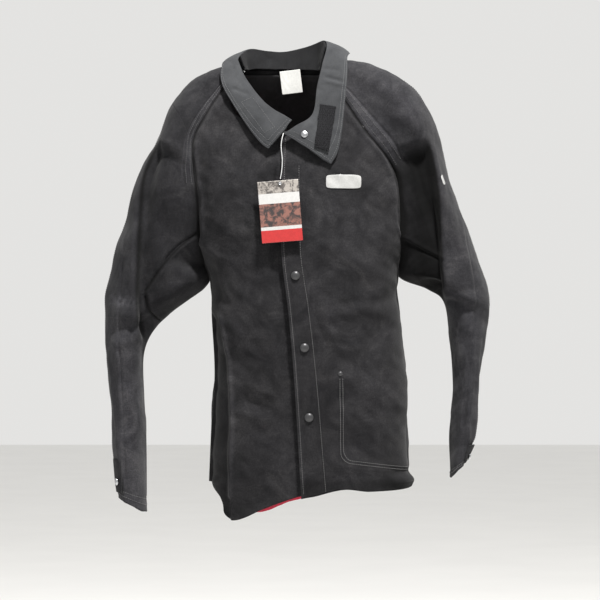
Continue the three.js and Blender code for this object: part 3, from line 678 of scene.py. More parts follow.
def grid_faces(rows, columns):
    """Faces of a closed slab made of two grids of points, one after the other, and its rim."""
    a = (np.arange(rows - 1)[:, None] * columns + np.arange(columns - 1)).ravel()
    layer = rows * columns
    near = np.stack([a, a + 1, a + 1 + columns, a + columns], -1)
    far = near[:, ::-1] + layer
    top = np.arange(columns - 1)
    end = (rows - 1) * columns + top
    left = np.arange(rows - 1) * columns
    right = left + columns - 1
    rim = [
        np.stack([top + 1, top, top + layer, top + 1 + layer], -1),
        np.stack([end, end + 1, end + 1 + layer, end + layer], -1),
        np.stack([left, left + columns, left + columns + layer, left + layer], -1),
        np.stack([right + columns, right, right + layer, right + columns + layer], -1),
    ]
    return np.concatenate([near, far, *rim])


# Least and greatest change that the painted shade, painted light and tone changes may make to the hide's
# tone.
NAP_AND_SHADE_RANGE = (-0.93, 3.0)


def shell(name, surface, u, v, thickness, way, material, depth=0.0, nap_and_shade=None):
    """A closed sheet whose outer face is surface(u, v) over two grids of its own coordinates."""
    u, v = np.broadcast_arrays(np.asarray(u, float), np.asarray(v, float))
    outer = surface(u, v)
    normal = outward(surface, u, v, way)
    tones = None if nap_and_shade is None else np.clip(nap_and_shade(outer, u, v), *NAP_AND_SHADE_RANGE).ravel()
    outer = outer - normal * depth
    inner = outer - normal * thickness
    rows, columns = u.shape
    faces = grid_faces(rows, columns)
    points = np.concatenate([outer.reshape(-1, 3), inner.reshape(-1, 3)])
    quad = points[faces[:, :3]]
    middle = (rows // 2) * (columns - 1) + columns // 2
    a, b, c = quad[middle]
    if np.dot(np.cross(b - a, c - a), normal.reshape(-1, 3)[faces[middle, 0]]) < 0:
        faces = faces[:, ::-1]
    wide = np.linalg.norm(np.diff(outer, axis=1), axis=-1).mean(0).cumsum()
    long = np.linalg.norm(np.diff(outer, axis=0), axis=-1).mean(1).cumsum()
    uv = np.stack(np.meshgrid(np.r_[0, wide], np.r_[0, long]), -1).reshape(-1, 2)
    piece = add_mesh(name, points, faces, material, np.concatenate([uv, uv]))
    # The attribute carries painted shade and painted light along with real tone changes.
    if tones is not None:
        layer = piece.data.attributes.new("nap_and_shade", "FLOAT", "POINT")
        layer.data.foreach_set("value", np.concatenate([tones, tones]).astype(np.float32))
    return piece


STITCH, STITCH_GAP, THREAD = 2.9, 1.1, 0.42


def resample(points, step):
    seg = np.linalg.norm(np.diff(points, axis=0), axis=1)
    along = np.r_[0, np.cumsum(seg)]
    at = np.arange(step / 2, along[-1], step)
    return np.stack([np.interp(at, along, points[:, k]) for k in range(3)], -1)


def stitches(name, lines, material):
    """Small lens-shaped threads lying along each line: a line is (points, normals) on a surface."""
    points, faces = [], []
    count = 0
    sides = 5
    for line, normals in lines:
        at = resample(line, STITCH + STITCH_GAP)
        if len(at) < 2:
            continue
        share, knots = np.linspace(0, 1, len(at)), np.linspace(0, 1, len(normals))
        out = np.stack([np.interp(share, knots, normals[:, k]) for k in range(3)], -1)
        out /= np.linalg.norm(out, axis=1, keepdims=True)
        way = np.gradient(at, axis=0)
        way /= np.linalg.norm(way, axis=1, keepdims=True)
        across = np.cross(way, out)
        for place, forward, up, beside in zip(at, way, out, across):
            for share, radius in ((-0.5, 0.25), (-0.2, 1.0), (0.2, 1.0), (0.5, 0.25)):
                for k in range(sides):
                    turn = 2 * np.pi * k / sides
                    ring = (up * np.cos(turn) + beside * np.sin(turn)) * THREAD * radius
                    lift = up * (0.15 + 0.3 * (radius - 0.25))
                    points.append(place + forward * share * STITCH + ring + lift)
            for ring_index in range(3):
                for k in range(sides):
                    a = count + ring_index * sides + k
                    b = count + ring_index * sides + (k + 1) % sides
                    faces.append([a, b, b + sides, a + sides])
            faces.append([count + k for k in reversed(range(sides))])
            faces.append([count + 3 * sides + k for k in range(sides)])
            count += 4 * sides
    return add_mesh(name, np.array(points), faces, material)


def on(surface, us, vs, way):
    """Points and outward normals of a surface along a path of its own coordinates."""
    us, vs = np.broadcast_arrays(np.asarray(us, float), np.asarray(vs, float))
    return surface(us, vs), outward(surface, us, vs, way)


def lathe(name, profile, place, direction, material, segments=48):
    """A turned piece with its axis along a direction; profile rows are radius and height."""
    towards = Vector(direction).normalized().to_track_quat("Z", "Y").to_matrix()
    rotation = np.array(towards)
    profile = np.array(profile, float)
    angle = np.linspace(0, 2 * np.pi, segments, endpoint=False)
    rings = [np.stack([r * np.cos(angle), r * np.sin(angle), np.full(segments, h)], -1) for r, h in profile]
    points = np.concatenate(rings) @ rotation.T + np.array(place, float)
    faces = []
    for i in range(len(profile) - 1):
        for k in range(segments):
            a, b = i * segments + k, i * segments + (k + 1) % segments
            faces.append([a, b, b + segments, a + segments])
    faces.append(list(reversed(range(segments))))
    last = (len(profile) - 1) * segments
    faces.append(list(range(last, last + segments)))
    return add_mesh(name, points, faces, material)


def dome(diameter, height):
    """Profile of a pressed snap cap: rolled rim, shallow moat and a crowned middle."""
    r = diameter / 2
    return [
        [r * across, height * up]
        for across, up in (
            (0.9, 0), (0.98, 0.1), (1, 0.26), (0.97, 0.42), (0.9, 0.52), (0.84, 0.5),
            (0.8, 0.56), (0.66, 0.8), (0.46, 0.94), (0.24, 0.99), (0.05, 1),
        )
    ]


# ---- Materials -------------------------------------------------------------------------------


def scaled(colour, share):
    return tuple(channel * share for channel in colour)


class Look:
    """A procedural material: a principled shader and helpers for the nodes that feed it."""

    def __init__(self, name, colour, roughness, **constants):
        self.material = bpy.data.materials.new(name)
        self.material.use_nodes = True
        self.tree = self.material.node_tree
        self.shader = self.tree.nodes["Principled BSDF"]
        self.shader.inputs["Base Color"].default_value = (*colour, 1)
        self.shader.inputs["Roughness"].default_value = roughness
        for key, setting in constants.items():
            self.shader.inputs[key.replace("_", " ")].default_value = setting

    def node(self, kind, **inputs):
        made = self.tree.nodes.new(kind)
        for key, source in inputs.items():
            self.feed(made.inputs[key], source)
        return made

    def feed(self, socket, source):
        if isinstance(source, bpy.types.NodeSocket):
            self.tree.links.new(source, socket)
        else:
            socket.default_value = source

    def place(self):
        return self.node("ShaderNodeTexCoord").outputs["Object"]

    def cloth(self):
        return self.node("ShaderNodeTexCoord").outputs["UV"]

    def noise(self, scale, detail=4.0, rough=0.55, where=None, distort=0.0):
        made = self.node("ShaderNodeTexNoise", Vector=where or self.place(), Scale=scale, Detail=detail)
        made.inputs["Roughness"].default_value = rough
        made.inputs["Distortion"].default_value = distort
        return made.outputs["Fac"]

    def math(self, operation, a, b):
        made = self.tree.nodes.new("ShaderNodeMath")
        made.operation = operation
        self.feed(made.inputs[0], a)
        self.feed(made.inputs[1], b)
        return made.outputs[0]

    def ramp(self, factor, stops):
        made = self.node("ShaderNodeValToRGB", Fac=factor)
        elements = made.color_ramp.elements
        while len(elements) < len(stops):
            elements.new(0.5)
        for element, (place, colour) in zip(elements, stops):
            element.position = place
            element.color = (*colour, 1)
        return made.outputs["Color"]

    def blend(self, factor, first, second, kind="MIX"):
        made = self.tree.nodes.new("ShaderNodeMix")
        made.data_type = "RGBA"
        made.blend_type = kind
        self.feed(made.inputs["Factor"], factor)
        self.feed(made.inputs[6], first)
        self.feed(made.inputs[7], second)
        return made.outputs[2]

    def colour(self, source):
        self.feed(self.shader.inputs["Base Color"], source)

    def rough(self, source, low, high):
        made = self.node("ShaderNodeMapRange", Value=source)
        made.inputs["To Min"].default_value = low
        made.inputs["To Max"].default_value = high
        self.feed(self.shader.inputs["Roughness"], made.outputs["Result"])

    def bump(self, height, strength, distance, before=None):
        made = self.node("ShaderNodeBump", Height=height, Strength=strength, Distance=distance)
        if before is not None:
            self.feed(made.inputs["Normal"], before)
        self.feed(self.shader.inputs["Normal"], made.outputs["Normal"])
        return made.outputs["Normal"]

    def waves(self, scale, direction="X", where=None, distort=0.0):
        made = self.node("ShaderNodeTexWave", Vector=where or self.cloth(), Scale=scale)
        made.bands_direction = direction
        made.inputs["Distortion"].default_value = distort
        return made.outputs["Fac"]


def suede(name, dark, light, warm):
    """Split-hide suede: cloudy brushed surface, short fibres, scuffs and a soft sheen, times a per-vertex
    attribute of painted shade and painted light.
    """
    look = Look(name, dark, 0.95, Sheen_Weight=0.035, Sheen_Roughness=0.55, Specular_IOR_Level=0.08)
    clouds = look.noise(15, 7, 0.66, distort=1.8)
    brushed = look.node("ShaderNodeMapping", Vector=look.place())
    brushed.inputs["Scale"].default_value = (0.45, 1.0, 1.6)
    strokes = look.noise(58, 8, 0.72, brushed.outputs["Vector"], 2.6)
    grain = look.noise(420, 5, 0.7)
    fibre = look.noise(1900, 3, 0.7)
    tone = look.ramp(clouds, [(0.30, dark), (0.52, light), (0.72, warm)])
    tone = look.blend(look.math("MULTIPLY", strokes, 0.75), tone, (*scaled(dark, 0.55), 1))
    flecks = look.ramp(grain, [(0.42, (0.62, 0.62, 0.62)), (0.66, (1.35, 1.33, 1.30))])
    tone = look.blend(0.8, tone, flecks, "MULTIPLY")
    scuff = look.noise(24, 8, 0.75, distort=0.6)
    worn = look.ramp(scuff, [(0.66, (0, 0, 0)), (0.78, (1, 1, 1))])
    tone = look.blend(look.math("MULTIPLY", worn, 0.28), tone, (*scaled(light, 2.4), 1))
    # Painted shade and painted light: the per-vertex attribute darkens and lightens the hide's colour.
    nap_and_shade = look.node("ShaderNodeAttribute")
    nap_and_shade.attribute_name = "nap_and_shade"
    tone = look.blend(1.0, tone, look.math("ADD", nap_and_shade.outputs["Fac"], 1.0), "MULTIPLY")
    look.colour(tone)
    look.rough(grain, 0.86, 1.0)
    first = look.bump(look.math("ADD", look.math("MULTIPLY", strokes, 0.5), grain), 0.35, 0.0009)
    look.bump(fibre, 0.5, 0.0004, first)
    return look.material


def twill(name, dark, light):
    """Diagonal twill weave with yarn-to-yarn colour change and faint creases."""
    look = Look(name, dark, 0.92, Sheen_Weight=0.02, Specular_IOR_Level=0.10)
    diagonal = look.node("ShaderNodeMapping", Vector=look.cloth())
    diagonal.inputs["Rotation"].default_value = (0, 0, math.radians(58))
    weave = look.waves(420, "X", diagonal.outputs["Vector"], 0.6)
    yarn = look.noise(900, 3, 0.6)
    clouds = look.noise(26, 5, 0.6, distort=0.8)
    tone = look.ramp(clouds, [(0.32, dark), (0.68, light)])
    tone = look.blend(look.math("MULTIPLY", weave, 0.35), tone, (*scaled(dark, 0.5), 1))
    change = look.ramp(yarn, [(0.35, (0.6, 0.6, 0.6)), (0.65, (1.3, 1.3, 1.3))])
    tone = look.blend(0.5, tone, change, "MULTIPLY")
    look.colour(tone)
    look.rough(yarn, 0.8, 0.95)
    first = look.bump(weave, 0.45, 0.0005)
    look.bump(yarn, 0.3, 0.0003, first)
    return look.material


def satin(name, dark, light):
    """Smooth woven lining: fine warp lines, gentle streaks and a soft gloss."""
    look = Look(name, dark, 0.6, Sheen_Weight=0.03, Specular_IOR_Level=0.2)
    warp = look.waves(700, "X", None, 0.3)
    streak = look.noise(60, 5, 0.6, distort=1.5)
    tone = look.ramp(streak, [(0.3, dark), (0.7, light)])
    look.colour(look.blend(look.math("MULTIPLY", warp, 0.2), tone, (*scaled(dark, 0.6), 1)))
    look.rough(streak, 0.42, 0.62)
    look.bump(warp, 0.25, 0.0003)
    return look.material


def pile(name, colour):
    """Brushed loop pile."""
    look = Look(name, colour, 1.0, Specular_IOR_Level=0.03)
    loops = look.noise(1100, 4, 0.8, distort=3)
    tufts = look.noise(260, 4, 0.7)
    look.colour(look.ramp(loops, [(0.35, scaled(colour, 0.4)), (0.7, scaled(colour, 2.4))]))
    first = look.bump(tufts, 0.8, 0.001)
    look.bump(loops, 0.9, 0.0008, first)
    return look.material


def metal(name, colour, metallic, roughness):
    """Plated or enamelled snap: fine scratches, fingerprints and small dents."""
    look = Look(name, colour, roughness, Metallic=metallic)
    scratch = look.noise(700, 6, 0.75, distort=4)
    cloud = look.noise(150, 4, 0.6)
    look.colour(look.ramp(cloud, [(0.3, scaled(colour, 0.72)), (0.7, colour)]))
    look.rough(scratch, roughness * 0.7, min(roughness * 1.6, 1.0))
    look.bump(scratch, 0.12, 0.0002)
    return look.material


def thread(name, colour):
    look = Look(name, colour, 0.7, Sheen_Weight=0.2)
    twist = look.noise(2400, 3, 0.6)
    look.colour(look.ramp(twist, [(0.3, scaled(colour, 0.5)), (0.7, scaled(colour, 1.4))]))
    look.bump(twist, 0.6, 0.0002)
    return look.material


def card(name, colour, second, scale):
    """Printed, coated card in one tone with a soft abstract mottling."""
    look = Look(name, colour, 0.42, Coat_Weight=0.25, Coat_Roughness=0.2)
    shapes = look.noise(scale, 3, 0.6, distort=1.0)
    look.colour(look.ramp(shapes, [(0.42, colour), (0.58, second)]))
    look.rough(look.noise(500, 3), 0.36, 0.5)
    look.bump(look.noise(900, 3), 0.05, 0.0002)
    return look.material


def ribbon(name, colour):
    """Woven label ribbon: ribs across and faint warp."""
    look = Look(name, colour, 0.7, Sheen_Weight=0.2)
    ribs = look.waves(520, "Y", look.place(), 0.2)
    shade = look.noise(300, 3)
    tone = look.ramp(shade, [(0.3, scaled(colour, 0.86)), (0.7, colour)])
    look.colour(look.blend(look.math("MULTIPLY", ribs, 0.12), tone, (0.33, 0.33, 0.33, 1)))
    look.bump(ribs, 0.4, 0.0003)
    return look.material


def plain(name, colour, amount):
    """Pale floor with a barely visible mottle."""
    look = Look(name, colour, 0.8)
    soft = look.noise(3, 3)
    look.colour(look.ramp(soft, [(0.3, scaled(colour, 1 - amount)), (0.7, colour)]))
    return look.material


BODY = suede("suede_black", (0.0075, 0.0075, 0.0086), (0.0175, 0.0172, 0.0188), (0.031, 0.0302, 0.0318))
SLEEVE = suede("suede_sleeve", (0.0080, 0.0080, 0.0094), (0.0185, 0.0183, 0.0205), (0.031, 0.0304, 0.0325))
COLLAR = twill("collar_twill", (0.024, 0.025, 0.027), (0.040, 0.0415, 0.044))
# Painted shade: the collar's twill made about four times darker for the stand inside the neck.
STAND_TWILL_IN_SHADE = twill("stand_twill_painted_shade", (0.005, 0.005, 0.0055), (0.011, 0.0113, 0.0122))
RED = satin("lining_red", (0.20, 0.003, 0.016), (0.34, 0.008, 0.03))
BLACK_LINING = satin("lining_black", (0.010, 0.010, 0.011), (0.022, 0.022, 0.024))
PILE = pile("loop_pile", (0.0085, 0.0085, 0.0092))
ENAMEL = metal("snap_enamel", (0.032, 0.032, 0.034), 0.3, 0.34)
STEEL = metal("snap_steel", (0.42, 0.425, 0.44), 1.0, 0.24)
THREAD_DARK = thread("thread_grey", (0.062, 0.061, 0.061))
THREAD_BLACK = thread("thread_black", (0.026, 0.026, 0.027))
THREAD_PALE = thread("thread_pocket", (0.085, 0.084, 0.083))
THREAD_LIGHT = thread("thread_collar", (0.052, 0.054, 0.057))
MARK = card("plain_mark", (0.27, 0.27, 0.265), (0.24, 0.24, 0.235), 260)


# ---- Baking a piece in place and hiding its CAD parts ----------------------------------------


def metres(point):
    return tuple(float(c) * MM for c in point)


def bend_front(piece, side):
    """Bakes the piece's place into its mesh; the fold's start and end are turned into metres but not used.
    """
    start, end = FRONT_BEND[side["name"]]
    metres(start)
    metres(end)
    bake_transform(piece)


# Where each upper sleeve starts and ends its bend, as x.
SHOULDER_BEND = {"left": (196, 262), "right": (-174, -236)}


def bend_shoulder(piece, side):
    start, end = (metres((x, -24, -200)) for x in SHOULDER_BEND[side["name"]])
    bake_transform(piece)
    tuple(start)
    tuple(end)


# A point of each elbow's hinge, and the way along the forearm.
ELBOW_HINGE = {
    "left": ((316, -89, -441), (-0.384, 0, -0.923)),
    "right": ((-290, -89, -476), (0.094, 0, -0.996)),
}


def bend_elbow(piece, side):
    place, way = (np.array(part, float) for part in ELBOW_HINGE[side["name"]])
    metres(place - 8 * way)
    metres(place + 62 * way)
    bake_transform(piece)


def finish_piece(piece, slot_name, *nodes):
    if nodes:
        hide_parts(*nodes)
    return piece


# ---- Trunk -----------------------------------------------------------------------------------


def front_grid(side, neckline, hem, columns, rows, first=0.0, last=1.0, top_in=0, hem_in=0):
    share = np.linspace(first, last, columns)[None, :]
    down = np.linspace(0, 1, rows)[:, None]
    top = value(neckline)(share) + top_in
    drop = mix(top, value(hem)(share) - hem_in, down)
    edge_x = front_edge(drop) + (0 if side["sign"] > 0 else LAP)
    return mix(edge_angle(side, drop, False), front_angle(edge_x, drop), share), drop


def add_fronts():
    for name, neckline, hem in (("left", LEFT_NECKLINE, LEFT_HEM), ("right", RIGHT_NECKLINE, RIGHT_HEM)):
        side = SIDES[name]
        surface = front_surface(side)
        angle, drop = front_grid(side, neckline, hem, 190, 250)
        nap_and_shade = front_nap_and_shade(side)
        piece = shell(f"{name}_front_hide", surface, angle, drop, HIDE, TRUNK_WAY, BODY, nap_and_shade=nap_and_shade)
        finish_piece(piece, "suede", f"{name}_front_panel", f"{name}_side_panel")
        bend_front(piece, side)
        add_front_stitches(side, surface)
        add_facing(side, surface)
    add_front_linings()


def front_line(surface, xs, drops):
    return on(surface, front_angle(np.asarray(xs, float), np.asarray(drops, float)), drops, TRUNK_WAY)


def pocket_path(inset):
    """The pocket's sewn line from the rivet down, round the lower corner and across to the side."""
    rivet_x, rivet_z, _ = RIVET
    down = np.linspace(8 - rivet_z, 686 - inset, 60)
    left = rivet_x - 1 + inset + 0.012 * (down + rivet_z)
    turn = np.linspace(0, 1, 24)
    corner_x = left[-1] + (22 - inset) * (1 - np.cos(turn * np.pi / 2))
    corner_z = down[-1] + 21 * np.sin(turn * np.pi / 2)
    across = np.linspace(corner_x[-1], 214, 40)
    base = corner_z[-1] + 0.14 * (across - corner_x[-1])
    return np.r_[left, corner_x, across], np.r_[down, corner_z, base]


def add_front_stitches(side, surface):
    """A row beside the front edge on both fronts; the left one also has the lap's row and its pocket."""
    if side["sign"] > 0:
        edge_drops, lap_drops = np.linspace(132, 762, 300), np.linspace(180, 755, 280)
        lap_width = mix(30, 44, (lap_drops - 180) / 575)
        lines = [
            front_line(surface, front_edge(edge_drops) + 4.5, edge_drops),
            front_line(surface, front_edge(lap_drops) + lap_width, lap_drops),
        ]
        pocket = [front_line(surface, *pocket_path(inset)) for inset in (0.0, 5.0)]
        piece = finish_piece(stitches("pocket_stitching", pocket, THREAD_PALE), "suede")
        bend_front(piece, side)
    else:
        drops = np.linspace(180, 742, 280)
        lines = [front_line(surface, front_edge(drops) + LAP - 4, drops)]
    piece = stitches(f"{side['name']}_front_stitching", lines, THREAD_DARK)
    bend_front(piece, side)


def add_facing(side, surface):
    """The hide strip behind the front edge that carries the snaps."""
    first, last = (3, 40) if side["sign"] > 0 else (LAP - 40, LAP - 2)
    drop = np.linspace(135, 750, 160)[:, None]
    x = front_edge(drop) + np.linspace(first, last, 16)[None, :]
    drop = np.broadcast_to(drop, x.shape)
    piece = shell(f"{side['name']}_facing_hide", surface, front_angle(x, drop), drop, FACING,
                  TRUNK_WAY, SLEEVE, depth=FACING_DEPTH)
    finish_piece(piece, "suede", f"{side['name']}_front_facing")
    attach(piece, side["name"] + "_front")


def add_front_linings():
    # Neckline, hem, where the lining starts and ends across the front, and its height above the hem.
    shapes = {
        "left": (LEFT_NECKLINE, LEFT_HEM, 0.30, 0.78, 8),
        "right": (RIGHT_NECKLINE, RIGHT_LINING_HEM, 0.32, 0.93, 0),
    }
    for name, (neckline, hem, first, last, hem_in) in shapes.items():
        side = SIDES[name]
        angle, drop = front_grid(side, neckline, hem, 60, 110, first, last, 14, hem_in)
        surface = front_surface(side)
        piece = shell(f"{name}_front_lining_cloth", surface, angle, drop, SATIN, TRUNK_WAY, RED,
                      depth=FRONT_LINING_DEPTH)
        finish_piece(piece, "satin", f"{name}_front_lining")
        bend_front(piece, side)
        declare_sheet(piece)


def declare_sheet(piece):
    """Reads a sheet's cloth coordinates, which give its flat size; nothing is done with them."""
    layer = piece.data.uv_layers["cloth"].data
    flat = np.zeros(len(layer) * 2, np.float32)
    layer.foreach_get("uv", flat)


def back_grid(hem, top, margin, columns, rows, bottom=None):
    share = np.linspace(0, 1, columns)[None, :]
    down = np.linspace(0, 1, rows)[:, None]
    end = value(hem)(share) if bottom is None else np.full(share.shape, float(bottom))
    drop = mix(np.full(share.shape, float(top)), end, down)
    first = 360 + edge_angle(SIDES["right"], drop, True)
    second = edge_angle(SIDES["left"], drop, True)
    return mix(first, second, mix(margin, 1 - margin, share)), drop


def add_back():
    surface = raised(trunk_point, back_relief, TRUNK_WAY)
    angle, drop = back_grid(BACK_HEM, 2, 0, 230, 240)
    piece = shell("back_hide", surface, angle, drop, HIDE, TRUNK_WAY, BODY)
    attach(finish_piece(piece, "suede", "back_panel"), "root")
    yoke_end = 190
    for name, top, bottom, cloth in (("back_yoke_lining", 8, yoke_end, BLACK_LINING),
                                     ("back_lining_cloth", yoke_end - 2, None, RED)):
        angle, drop = back_grid(LINING_HEM, top, 0.02, 110, 90, bottom)
        piece = shell(name, trunk_point, angle, drop, SATIN, TRUNK_WAY, cloth, depth=BACK_LINING_DEPTH)
        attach(finish_piece(piece, "satin", "back_lining"), "root")
        declare_sheet(piece)
    share = np.linspace(0.02, 0.98, 300)
    drop = value(BACK_HEM)(share) - 9
    first = 360 + edge_angle(SIDES["right"], drop, True)
    line = on(surface, mix(first, edge_angle(SIDES["left"], drop, True), share), drop, TRUNK_WAY)
    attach(finish_piece(stitches("back_stitching", [line], THREAD_DARK), "suede"), "root")


def add_pocket_bag():
    drop = np.linspace(POCKET["top"], POCKET["bottom"], 50)[:, None]
    x = np.linspace(POCKET["inner"], POCKET["outer"], 50)[None, :]
    drop, x = np.broadcast_arrays(drop, x)
    relief = lambda point, u, v: 0.8 * ripple(77, 34, point[..., 0], point[..., 2])
    surface = raised(trunk_point, relief, TRUNK_WAY)
    piece = shell("pocket_bag_cloth", surface, front_angle(x, drop), drop, POCKET_BAG, TRUNK_WAY,
                  BLACK_LINING, depth=POCKET_BAG_DEPTH)
    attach(finish_piece(piece, "satin", "left_inner_pocket"), "root")
    declare_sheet(piece)


# ---- Sleeves ---------------------------------------------------------------------------------


def sleeve_shell(name, side, t0, t1, around0, around1, columns, rows):
    surface = sleeve_shape(side)
    t = np.linspace(t0, t1, rows)[:, None]
    around = np.linspace(around0, around1, columns)[None, :]
    return shell(name, surface, t, around, HIDE, sleeve_way(side), SLEEVE, nap_and_shade=sleeve_nap_and_shade(side))


def sleeve_line(side, ts, arounds):
    return on(sleeve_shape(side), ts, arounds, sleeve_way(side))


def add_sleeves():
    seam, back_seam, top = 0.001, 0.999, 0.1
    for name, side in SIDES.items():
        piece = sleeve_shell(f"{name}_raglan_front_hide", side, top, SHOULDER, seam, 0.5, 70, 110)
        finish_piece(piece, "suede", f"{name}_raglan_front")
        bend_front(piece, side)
        piece = sleeve_shell(f"{name}_raglan_back_hide", side, top, SHOULDER, 0.5, back_seam, 70, 110)
        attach(finish_piece(piece, "suede", f"{name}_raglan_back"), "root")
        upper, lower = (SHOULDER, SLEEVE_JOIN), (SLEEVE_JOIN, CUFF)
        piece = sleeve_shell(f"{name}_upper_sleeve_hide", side, *upper, seam, back_seam, 200, 210)
        finish_piece(piece, "suede", f"{name}_upper_sleeve_front", f"{name}_upper_sleeve_back")
        bend_shoulder(piece, side)
        piece = sleeve_shell(f"{name}_lower_sleeve_hide", side, *lower, seam, back_seam, 170, 190)
        finish_piece(piece, "suede", f"{name}_lower_sleeve_front", f"{name}_lower_sleeve_back")
        bend_elbow(piece, side)
        add_sleeve_stitches(name, side)
        add_cuff_tab(name, side)


def add_sleeve_stitches(name, side):
    raglan = np.linspace(0.3, SHOULDER, 120)
    lines = [sleeve_line(side, raglan, around) for around in (0.035, 0.085)]
    piece = finish_piece(stitches(f"{name}_raglan_stitching", lines, THREAD_BLACK), "suede")
    bend_front(piece, side)
    upper = np.linspace(SHOULDER, SLEEVE_JOIN, 260)
    lines = [sleeve_line(side, upper, around) for around in (0.487, 0.513)]
    band = np.linspace(SHOULDER, 4.6, 70)
    lines += [sleeve_line(side, band, around) for around in (0.035, 0.085)]
    piece = finish_piece(stitches(f"{name}_upper_stitching", lines, THREAD_BLACK), "suede")
    bend_shoulder(piece, side)
    lower = np.linspace(SLEEVE_JOIN, 13.97, 220)
    lines = [sleeve_line(side, lower, around) for around in (0.485, 0.515)]
    round_cuff = np.linspace(0.01, 0.99, 120)
    lines += [sleeve_line(side, t, round_cuff) for t in (13.82, 13.9)]
    piece = finish_piece(stitches(f"{name}_lower_stitching", lines, THREAD_DARK), "suede")
    bend_elbow(piece, side)


TAB_START, TAB_END, TAB_AROUND, TAB_HALF = 13.25, 13.86, 0.36, 0.055
TAB_LIFT, CUFF_SNAP_AT, CUFF_CAP_DIAMETER = 2.9, 13.66, 13


def add_cuff_tab(name, side):
    t = np.linspace(TAB_START, TAB_END, 40)[:, None]
    around = np.linspace(TAB_AROUND - TAB_HALF, TAB_AROUND + TAB_HALF, 30)[None, :]
    ends = smooth(0.55, 1.0, (t - TAB_START) / (TAB_END - TAB_START))
    around = TAB_AROUND + (around - TAB_AROUND) * (1 - 0.3 * ends**2)
    t, around = np.broadcast_arrays(t, around)
    piece = shell(f"{name}_tab_hide", side["sleeve"], t, around, HIDE, sleeve_way(side), SLEEVE,
                  depth=-(TAB_LIFT + HIDE))
    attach(finish_piece(piece, "suede", f"{name}_cuff_tab"), f"{name}_tab")
    _, normal = sleeve_line(side, np.array([CUFF_SNAP_AT]), np.array([TAB_AROUND]))
    base = side["sleeve"](CUFF_SNAP_AT, TAB_AROUND)
    place = base + normal[0] * (TAB_LIFT + HIDE + 0.8)
    cap = lathe(f"{name}_cuff_cap", dome(CUFF_CAP_DIAMETER, 3), place, normal[0], STEEL)
    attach(finish_piece(cap, "steel_snap", f"{name}_cuff_snap_cap"), f"{name}_tab")


# ---- Collar ----------------------------------------------------------------------------------


def fall_grid(first, last, columns, rows, top=0.0, bottom=1.0):
    along = np.linspace(first, last, columns)[None, :]
    down = np.linspace(top, bottom, rows)[:, None]
    return np.broadcast_arrays(along, down)


NECK_BEND = {"left": ((85, -4, 30), (85, -36, 30)), "right": ((-95, -4, 15), (-95, -36, 15))}
LEAF_BEND = {"left": ((84, -46, 26), (76, -92, -44)), "right": ((-106, -46, 10), (-88, -92, -52))}


def bend_neck(piece, name):
    """Bakes the piece's place into its mesh; the neck bend's two points are turned into metres but not
    used.
    """
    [metres(point) for point in NECK_BEND[name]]
    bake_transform(piece)


def bend_leaf(piece, name):
    """Bakes the piece's place into its mesh; the leaf bend's two points are turned into metres but not
    used.
    """
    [metres(point) for point in LEAF_BEND[name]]
    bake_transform(piece)


def add_collar():
    middle = (RIGHT_LEAF_END + LEFT_LEAF_START) / 2
    leaves = {"right": (0, RIGHT_LEAF_END), "left": (LEFT_LEAF_START, 1)}
    backs = {"right": (RIGHT_LEAF_END, middle), "left": (middle, LEFT_LEAF_START)}
    for name, (first, last) in leaves.items():
        along, down = fall_grid(first, last, 120, 50)
        piece = shell(f"{name}_leaf_twill", collar_shape, along, down, TWILL, COLLAR_WAY, COLLAR)
        finish_piece(piece, "twill", f"{name}_collar_leaf")
        bend_leaf(piece, name)
        lines = collar_lines(name, first, last)
        piece = finish_piece(stitches(f"{name}_leaf_stitching", lines, THREAD_LIGHT), "twill")
        bend_leaf(piece, name)
    for name, (first, last) in backs.items():
        along, down = fall_grid(first, last, 100, 50)
        piece = shell(f"{name}_collar_fall", collar_shape, along, down, TWILL, COLLAR_WAY, COLLAR)
        finish_piece(piece, "twill", "collar_back")
        bend_neck(piece, name)
        add_stand(name, first, last)


def collar_lines(name, first, last):
    """Two rows round a leaf's free edge and its front end; the right leaf also has the pad's outline."""
    lines = []
    front, rear = (first, last) if name == "right" else (last, first)
    way = 1 if name == "right" else -1
    for inset, end_in in ((0.05, 0.012), (0.17, 0.04)):
        tip = front + way * end_in
        edge = np.linspace(rear, tip, 140)
        up = np.linspace(1 - inset, 0.06, 60)
        alongs = np.r_[edge, np.full(len(up), tip)]
        downs = np.r_[np.full(len(edge), 1 - inset), up]
        lines.append(on(collar_shape, alongs, downs, COLLAR_WAY))
    if name == "right":
        x, z = point_path(PAD_OUTLINE, 50)
        lines.append(on(collar_shape, *fall_at(x, z, (0.15, 0.5)), COLLAR_WAY))
    return lines


def point_path(corners, steps):
    """Places along straight lines from corner to corner."""
    share = np.linspace(0, len(corners) - 1, steps * (len(corners) - 1) + 1)
    return [np.interp(share, range(len(corners)), values) for values in zip(*corners)]


def add_stand(name, first, last):
    def base(u, v):
        u, v = np.broadcast_arrays(np.asarray(u, float), np.asarray(v, float))
        whole = (u - RIGHT_LEAF_END) / (LEFT_LEAF_START - RIGHT_LEAF_END)
        foot, top = neck_seam(whole), crest(u)
        return mix(foot, top, 0.97 * v[..., None])

    relief = lambda point, u, v: 0.9 * ripple(66, 24, point[..., 0], point[..., 1], point[..., 2]) * (1 - v)
    surface = raised(base, relief, STAND_WAY)
    # The foot reaches a little below the neck seam.
    along, down = fall_grid(first, last, 90, 38, top=-0.14)
    # The stand is drawn in the twill with painted shade.
    piece = shell(f"{name}_stand_twill_painted_shade", surface, along, down, TWILL, STAND_WAY, STAND_TWILL_IN_SHADE, depth=1.0)
    finish_piece(piece, "twill", "collar_stand")
    bend_neck(piece, name)


